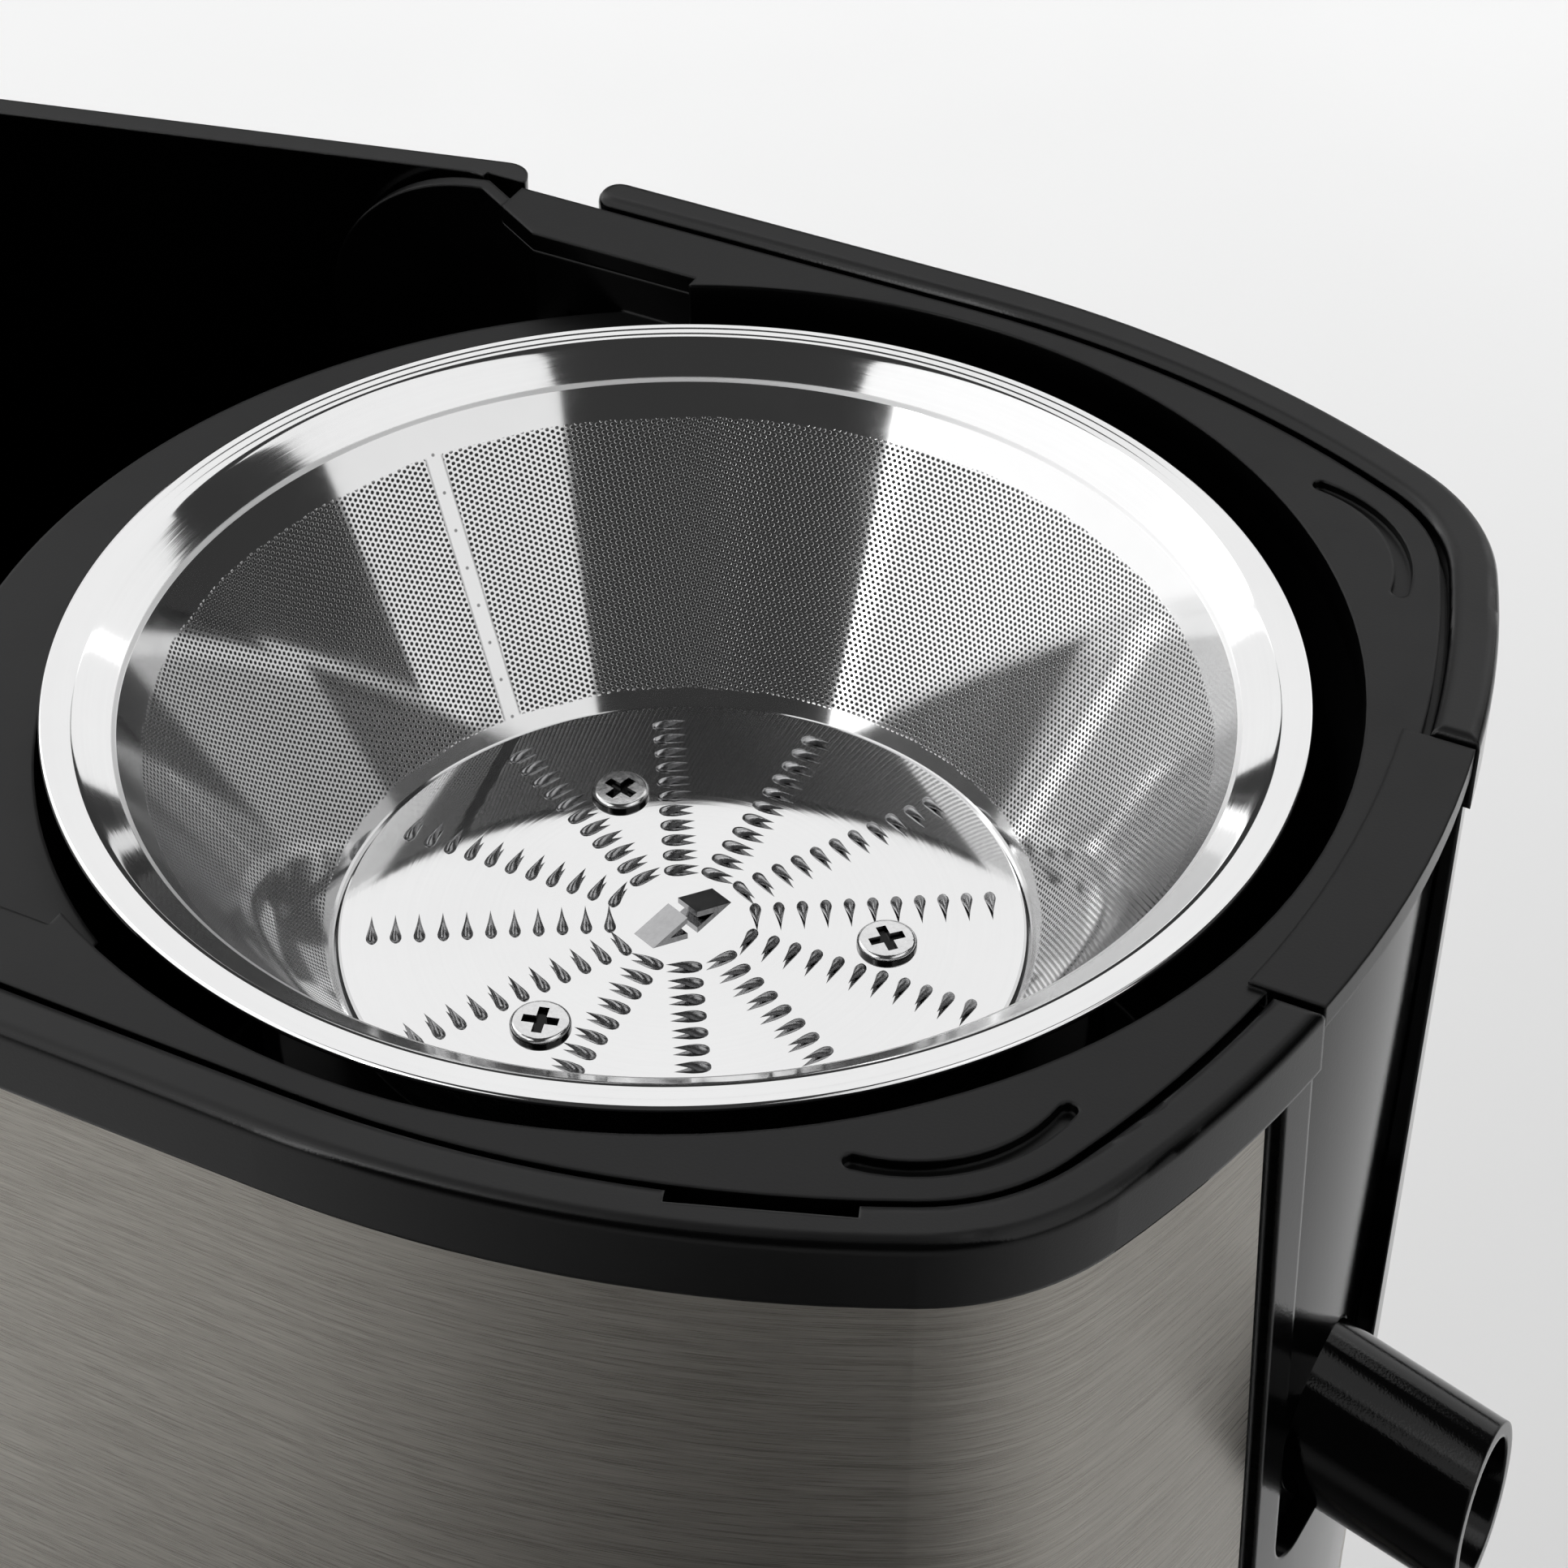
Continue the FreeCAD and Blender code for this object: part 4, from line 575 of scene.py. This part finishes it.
class JuicerView(bpy.types.PropertyGroup):
    """Place, direction and lens of the camera."""

    eye: FloatVectorProperty(
        name="Eye", description="Camera position", default=(0.186, -0.2708, 0.4736),
        subtype="TRANSLATION")
    turn: FloatProperty(
        name="Turn", description="Turn of the object under the camera", default=math.radians(29.0),
        subtype="ANGLE")
    elevation: FloatProperty(
        name="Elevation", description="Camera elevation", default=0.655624166, subtype="ANGLE")
    pan: FloatProperty(name="Pan", description="Camera pan", default=0.0283813796, subtype="ANGLE")
    tilt: FloatProperty(name="Tilt", description="Camera tilt", default=0.0342948528, subtype="ANGLE")
    roll: FloatProperty(name="Roll", description="Camera roll", default=0.0186515503, subtype="ANGLE")
    lens: FloatProperty(
        name="Lens", description="Focal length in millimetres", default=83.85, unit="CAMERA")


def mesh_object(name, points, faces, material, sharp=35.0):
    """A mesh piece that is smooth up to an angle in degrees."""
    mesh = bpy.data.meshes.new(name)
    mesh.from_pydata(points, [], faces)
    mesh.shade_smooth()
    mesh.set_sharp_from_angle(angle=math.radians(sharp))
    made = bpy.data.objects.new(name, mesh)
    bpy.context.scene.collection.objects.link(made)
    made.data.materials.append(material)
    return made


def turned_piece(name, profile, material, steps=360):
    """A ring-shaped mesh from a closed outline of radius and height pairs."""
    count = len(profile)
    points = []
    for i in range(steps):
        angle = 2.0 * math.pi * i / steps
        for radius, z in profile:
            points.append(AXIS + Vector((radius * math.cos(angle), radius * math.sin(angle), z)))
    faces = []
    for i in range(steps):
        ahead = (i + 1) % steps
        for j in range(count):
            after = (j + 1) % count
            faces.append((i * count + j, ahead * count + j, ahead * count + after, i * count + after))
    return mesh_object(name, points, faces, material)


def dress(graph, *nodes):
    """Gives CAD nodes a material."""
    for name in nodes:
        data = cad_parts[name].data
        data.materials.clear()
        data.materials.append(graph.material)


def rim_outline(look):
    """Outline of the rim: straight flare, bend, flat lip, rounded edge and underside."""
    foot_z = look.cone_foot_z + look.cone_height
    top = look.cone_top_radius
    half = look.lip_height / 2.0
    crest_z = look.rim_z + half
    crest_radius = look.rim_radius - look.lip_width
    flare = crest_radius - look.lip_bend - top
    slope = (crest_z - foot_z) / (flare + look.lip_bend / 2.0)
    outline = []
    for i in range(FLARE_STEPS + 1):
        along = flare * i / FLARE_STEPS
        outline.append((top + along, foot_z + slope * along))
    for i in range(1, BEND_STEPS + 1):
        along = look.lip_bend * i / BEND_STEPS
        rise = slope * (flare + along - along * along / (2.0 * look.lip_bend))
        outline.append((top + flare + along, foot_z + rise))
    for i in range(1, LIP_STEPS):
        t = i / LIP_STEPS
        ripple = LIP_RIPPLE * (math.cos(4.0 * math.pi * t) - 1.0)
        outline.append((crest_radius + (look.lip_width - half) * t, crest_z + ripple))
    for i in range(EDGE_STEPS + 1):
        angle = math.pi / 2.0 - math.pi * i / EDGE_STEPS
        radius = look.rim_radius + half * (math.cos(angle) - 1.0)
        outline.append((radius, look.rim_z + half * math.sin(angle)))
    outline.append((crest_radius, look.rim_z - half))
    outline.append((top + look.sheet, foot_z))
    return outline


def cone_outline(look):
    """Outline of the filter's sheet, up its inside and down its outside."""
    inner = []
    for i in range(CONE_STEPS + 1):
        t = i / CONE_STEPS
        radius = look.cone_foot_radius + (look.cone_top_radius - look.cone_foot_radius) * t
        inner.append((radius, look.cone_foot_z + look.cone_height * t))
    outer = [(radius + look.sheet, z) for radius, z in reversed(inner)]
    return inner + outer


class JUICER_OT_basket(bpy.types.Operator):
    """Builds the basket's rolled rim and its perforated filter"""

    bl_idname = "juicer.basket"
    bl_label = "Basket"

    def execute(self, context):
        look = context.scene.juicer_look
        join_z = look.cone_foot_z + look.cone_height + 0.0002
        steel = polished_steel("rim steel", rough=0.045, join_z=join_z)
        rim = turned_piece("rim", rim_outline(look), steel.material)
        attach(rim, "basket")
        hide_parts("basket_rim")
        holes = perforated_sheet("filter steel", look)
        cone = turned_piece("filter", cone_outline(look), holes.material)
        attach(cone, "basket")
        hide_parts("filter_cone")
        return {"FINISHED"}


def disc_outline(look):
    """Outline of the grater disc: underside, edge and face."""
    top = look.disc_top
    low = top - look.disc_sheet
    outline = [(DISC_BORE, top), (DISC_BORE, low), (look.disc_radius, low)]
    outline += [(look.disc_radius, top - DISC_EDGE), (look.disc_radius - DISC_EDGE, top)]
    return outline + [(look.disc_radius * share, top) for share in DISC_RINGS]


def tooth_mesh(look, bearing, radius, points, faces):
    """Adds one pressed thorn that points clockwise to a list of points and faces."""
    radial = Vector((math.cos(bearing), math.sin(bearing), 0.0))
    ahead = Vector((math.sin(bearing), -math.cos(bearing), 0.0))
    middle = AXIS + radial * radius + Vector((0.0, 0.0, look.disc_top))
    first = len(points)
    for along, wide, high, lift in TOOTH_STATIONS:
        for i in range(TOOTH_SIDES + 1):
            angle = math.pi * i / TOOTH_SIDES
            aside = math.cos(angle) * wide * look.tooth_width / 2.0
            up = (lift + (high - lift) * math.sin(angle) ** TOOTH_CROWN) * look.tooth_height
            spot = ahead * along * look.tooth_length + radial * aside
            points.append(middle + spot + Vector((0.0, 0.0, up)))
    row = TOOTH_SIDES + 1
    for station in range(len(TOOTH_STATIONS) - 1):
        start = first + station * row
        for a in range(start, start + TOOTH_SIDES):
            faces.append((a, a + row, a + row + 1, a + 1))
        faces.append((start, start + TOOTH_SIDES, start + row + TOOTH_SIDES, start + row))


def teeth_mesh(look):
    """Points and faces of all the rows of teeth."""
    points = []
    faces = []
    for row in range(look.rows):
        bearing = look.row_bearing + 2.0 * math.pi * row / look.rows
        for i in range(look.teeth):
            radius = look.row_start + (look.row_end - look.row_start) * i / (look.teeth - 1)
            tooth_mesh(look, bearing, radius, points, faces)
    return points, faces


def tab_mesh(look):
    """Points and faces of the two tabs that are bent up at the disc's middle."""
    points = []
    faces = []
    slope = Vector((-math.cos(look.tab_tilt), 0.0, math.sin(look.tab_tilt)))
    for end in range(2):
        spin = Matrix.Rotation(look.tab_bearing + math.pi * end, 3, "Z")
        first = len(points)
        for drop in (0.0, look.disc_sheet):
            for along in (0.0, look.tab_length - look.tab_gap):
                for side in (-0.5, 0.5):
                    foot = Vector((look.tab_length, side * look.tab_width, look.disc_top - drop))
                    points.append(AXIS + spin @ (foot + slope * along))
        for face in TAB_FACES:
            faces.append([first + corner for corner in face])
    return points, faces


class JUICER_OT_grater(bpy.types.Operator):
    """Builds the grater disc with its rows of pressed teeth and its bent tabs"""

    bl_idname = "juicer.grater"
    bl_label = "Grater disc"

    def execute(self, context):
        look = context.scene.juicer_look
        steel = polished_steel("disc steel", rough=0.03)
        plate = turned_piece("grater", disc_outline(look), steel.material, steps=240)
        pressed = worked_metal(
            "tooth steel", (0.36, 0.36, 0.365), rough=0.20, stretch=EVEN, scale=1800.0, strength=0.25)
        bent = worked_metal("tab steel", (0.40, 0.40, 0.405), rough=0.16, stretch=EVEN, strength=0.05)
        teeth = mesh_object("teeth", *teeth_mesh(look), pressed.material, sharp=50.0)
        tabs = mesh_object("tabs", *tab_mesh(look), bent.material, sharp=20.0)
        for piece in (plate, teeth, tabs):
            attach(piece, "basket")
        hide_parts("grater_disc")
        return {"FINISHED"}


class JUICER_OT_fittings(bpy.types.Operator):
    """Gives the basket's screws and hub their surfaces"""

    bl_idname = "juicer.fittings"
    bl_label = "Basket fittings"

    def execute(self, context):
        dress(screw_steel("screw steel", context.scene.juicer_look.disc_top), "disc_screws")
        dress(moulded("hub plastic", (0.02, 0.02, 0.021), rough=0.4, grain=0.1), "basket_hub")
        return {"FINISHED"}


class JUICER_OT_housing(bpy.types.Operator):
    """Gives the housing, collar and base their black mouldings"""

    bl_idname = "juicer.housing"
    bl_label = "Housing"

    def execute(self, context):
        shell = satin_top("housing black", GLOSS_BLACK, gloss_rough=0.06, satin_rough=0.25)
        collar = satin_top("collar black", SATIN_BLACK, gloss_rough=0.09, satin_rough=0.36, gloss=0.34)
        base = moulded("base black", (0.006, 0.006, 0.0063), rough=0.34, grain=0.12)
        deck = moulded("deck black", (0.008, 0.008, 0.0085), rough=0.38, grain=0.12)
        dress(shell, "motor_housing")
        dress(collar, "control_side_collar", "far_side_collar")
        dress(base, "base_tub", "base_plate", "cord_gland")
        dress(deck, "motor_deck", "interlock_plunger")
        return {"FINISHED"}


class JUICER_OT_panels(bpy.types.Operator):
    """Gives the side panels their brushed steel"""

    bl_idname = "juicer.panels"
    bl_label = "Side panels"

    def execute(self, context):
        dress(brushed_panel("panel steel"), "control_side_panel", "far_side_panel")
        return {"FINISHED"}


class JUICER_OT_bowl(bpy.types.Operator):
    """Gives the juice bowl, its apron and its spout their black mouldings"""

    bl_idname = "juicer.bowl"
    bl_label = "Bowl"

    def execute(self, context):
        bowl = satin_top(
            "bowl black", SATIN_BLACK, gloss_rough=0.22, satin_rough=0.38, gloss=0.29, edge_sheen=0.0)
        spout = satin_top("spout black", GLOSS_BLACK, gloss_rough=0.05, satin_rough=0.08, gloss=0.25)
        apron = satin_top("apron black", GLOSS_BLACK, gloss_rough=0.06, satin_rough=0.10, gloss=0.12)
        dress(bowl, "juice_bowl", "bowl_dome", "pulp_chute")
        dress(spout, "juice_spout")
        dress(apron, "bowl_apron")
        return {"FINISHED"}


class JUICER_OT_bin(bpy.types.Operator):
    """Gives the pulp bin its black moulding"""

    bl_idname = "juicer.bin"
    bl_label = "Pulp bin"

    def execute(self, context):
        black = satin_top("bin black", (0.0028, 0.0028, 0.003), gloss_rough=0.12, satin_rough=0.34)
        dress(black, "pulp_bin")
        return {"FINISHED"}


def coil_mesh(low, high, turns, wire):
    """Points and faces of an upright coil spring that fills a box."""
    radius = (high.x - low.x) / 2.0 - wire
    foot = Vector(((low.x + high.x) / 2.0, (low.y + high.y) / 2.0, low.z + wire))
    rise = high.z - low.z - 2.0 * wire
    last = turns * COIL_STEPS
    points = []
    for i in range(last + 1):
        angle = 2.0 * math.pi * i / COIL_STEPS
        out = Vector((math.cos(angle), math.sin(angle), 0.0))
        for k in range(WIRE_SIDES):
            turn = 2.0 * math.pi * k / WIRE_SIDES
            spot = out * (radius + wire * math.cos(turn))
            points.append(foot + spot + Vector((0.0, 0.0, rise * i / last + wire * math.sin(turn))))
    start_cap = tuple(range(WIRE_SIDES))[::-1]
    end_cap = tuple(range(last * WIRE_SIDES, (last + 1) * WIRE_SIDES))
    faces = [start_cap, end_cap]
    for i in range(last):
        for k in range(WIRE_SIDES):
            a = i * WIRE_SIDES + k
            b = i * WIRE_SIDES + (k + 1) % WIRE_SIDES
            faces.append((a, a + WIRE_SIDES, b + WIRE_SIDES, b))
    return points, faces


class JUICER_OT_controls(bpy.types.Operator):
    """Gives the knob, its ring and mark their surfaces, and winds the lid catch's spring"""

    bl_idname = "juicer.controls"
    bl_label = "Controls"

    def execute(self, context):
        look = context.scene.juicer_look
        knob = satin_top("knob black", (0.004, 0.004, 0.0042), gloss_rough=0.12, satin_rough=0.25)
        ring = worked_metal("ring steel", (0.72, 0.72, 0.72), rough=0.16, stretch=EVEN)
        mark = moulded("mark white", (0.75, 0.75, 0.74), rough=0.35, grain=0.05)
        switch = moulded("switch grey", (0.06, 0.06, 0.065), rough=0.45, grain=0.15)
        wire = worked_metal("spring steel", (0.6, 0.6, 0.6), rough=0.25, stretch=(1.0, 1.0, 6.0))
        dress(knob, "control_knob")
        dress(ring, "knob_bezel")
        dress(mark, "knob_marker")
        dress(switch, "rotary_switch", "interlock_switch")
        dress(wire, "brush_springs")
        dress(circuit_board("board"), "control_board")
        low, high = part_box("interlock_spring")
        coil = coil_mesh(low, high, look.spring_turns, look.spring_wire)
        spring = mesh_object("catch_spring", *coil, wire.material)
        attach(spring, "housing")
        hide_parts("interlock_spring")
        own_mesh(spring)
        return {"FINISHED"}


class JUICER_OT_motor(bpy.types.Operator):
    """Gives the motor, its drive and its fastenings their surfaces"""

    bl_idname = "juicer.motor"
    bl_label = "Motor"

    def execute(self, context):
        bars = worked_metal("copper bars", (0.72, 0.42, 0.26), rough=0.25, stretch=(1.0, 1.0, 0.1))
        cast = worked_metal("cast alloy", GROUND_STEEL, rough=0.42, stretch=EVEN, scale=500.0, strength=0.2)
        ground = worked_metal("ground steel", GROUND_STEEL, rough=0.18, stretch=(1.0, 1.0, 8.0))
        brass = worked_metal("drawn brass", (0.74, 0.58, 0.28), rough=0.25, stretch=(1.0, 0.1, 1.0))
        carbon = moulded("carbon", (0.03, 0.03, 0.032), rough=0.6, grain=0.25)
        plastic = moulded("fan plastic", (0.09, 0.09, 0.095), rough=0.45, grain=0.15)
        rubber = moulded("rubber", (0.018, 0.018, 0.018), rough=0.75, grain=0.3, grain_scale=1500.0)
        dress(wound_copper("winding copper"), "field_coils", "rotor_windings")
        dress(laminated_steel("lamination steel"), "stator_core", "rotor_core")
        dress(bars, "commutator")
        dress(cast, "upper_motor_bracket", "lower_motor_bracket")
        dress(ground, "motor_shaft", "upper_bearing", "lower_bearing", "motor_bolts", "base_screws")
        dress(brass, "brush_holders")
        dress(carbon, "carbon_brushes")
        dress(plastic, "brush_plate", "cooling_fan", "drive_coupling")
        dress(rubber, "rubber_feet", "shaft_seal", "motor_dampers")
        return {"FINISHED"}


def soft_box(name, bearing, rise, distance, width, height, glow):
    """A soft light that faces the basket from a bearing and a rise in degrees."""
    turn = math.radians(bearing)
    lift = math.radians(rise)
    aim = AXIS + Vector((0.0, 0.0, AIM_HEIGHT))
    away = Vector((math.cos(lift) * math.cos(turn), math.cos(lift) * math.sin(turn), math.sin(lift)))
    data = bpy.data.lights.new(name, "AREA")
    data.shape = "RECTANGLE"
    data.size = width
    data.size_y = height
    data.energy = math.pi * glow * width * height
    lamp = bpy.data.objects.new(name, data)
    lamp.location = aim + away * distance
    lamp.rotation_euler = (-away).to_track_quat("-Z", "Y").to_euler()
    lamp.visible_camera = False
    bpy.context.scene.collection.objects.link(lamp)
    return lamp


def lit_room(scene):
    """Sets the room's glow, the floor's light and the cards."""
    world = bpy.data.worlds.new("studio")
    world.use_nodes = True
    back = world.node_tree.nodes["Background"]
    back.inputs["Color"].default_value = (1.0, 1.0, 1.0, 1.0)
    back.inputs["Strength"].default_value = ROOM_GLOW
    scene.world = world
    scene.view_settings.view_transform = "Standard"
    soft_box(*FLOOR_LIGHT).visible_glossy = False
    for card in CARDS:
        soft_box(*card).visible_diffuse = False


def placed_camera(view):
    """A camera at the eye, leaned down to its elevation and then panned, tilted and rolled."""
    turn = Matrix.Rotation(view.turn, 3, "Z")
    lean = Matrix.Rotation(view.elevation - math.pi / 2.0, 3, "X")
    pan = Matrix.Rotation(view.pan, 3, "Y")
    tilt = Matrix.Rotation(view.tilt, 3, "X")
    roll = Matrix.Rotation(view.roll, 3, "Z")
    axes = roll @ tilt @ pan @ lean
    data = bpy.data.cameras.new("camera")
    data.lens = view.lens
    data.sensor_width = SENSOR_WIDTH
    data.clip_start = CLIP_START
    camera = bpy.data.objects.new("camera", data)
    camera.matrix_world = Matrix.Translation(view.eye) @ (turn @ axes.transposed()).to_4x4()
    return camera


class JUICER_OT_stage(bpy.types.Operator):
    """Builds the floor, light and camera"""

    bl_idname = "juicer.stage"
    bl_label = "Stage"

    def execute(self, context):
        far = FLOOR_HALF
        corners = [(-far, -far, 0.0), (far, -far, 0.0), (far, far, 0.0), (-far, far, 0.0)]
        floor = mesh_object("floor", corners, [(0, 1, 2, 3)], floor_surface("floor").material)
        lit_room(context.scene)
        camera = placed_camera(context.scene.juicer_view)
        context.scene.collection.objects.link(camera)
        context.scene.camera = camera
        return {"FINISHED"}


STEPS = (
    JUICER_OT_basket,
    JUICER_OT_grater,
    JUICER_OT_fittings,
    JUICER_OT_housing,
    JUICER_OT_panels,
    JUICER_OT_bowl,
    JUICER_OT_bin,
    JUICER_OT_controls,
    JUICER_OT_motor,
    JUICER_OT_stage,
)


class JUICER_PT_looks(bpy.types.Panel):
    """Sidebar panel with one button for each step"""

    bl_label = "Juicer"
    bl_idname = "JUICER_PT_looks"
    bl_space_type = "VIEW_3D"
    bl_region_type = "UI"
    bl_category = "Juicer"

    def draw(self, context):
        for step in STEPS:
            self.layout.operator(step.bl_idname)


CLASSES = (JuicerLook, JuicerView) + STEPS + (JUICER_PT_looks,)


def register():
    for item in CLASSES:
        bpy.utils.register_class(item)
    bpy.types.Scene.juicer_look = PointerProperty(type=JuicerLook)
    bpy.types.Scene.juicer_view = PointerProperty(type=JuicerView)


def unregister():
    del bpy.types.Scene.juicer_view
    del bpy.types.Scene.juicer_look
    for item in reversed(CLASSES):
        bpy.utils.unregister_class(item)


def main():
    register()
    bpy.ops.juicer.basket()
    bpy.ops.juicer.grater()
    bpy.ops.juicer.fittings()
    bpy.ops.juicer.housing()
    bpy.ops.juicer.panels()
    bpy.ops.juicer.bowl()
    bpy.ops.juicer.bin()
    bpy.ops.juicer.controls()
    bpy.ops.juicer.motor()
    bpy.ops.juicer.stage()


if __name__ == "__main__":
    main()
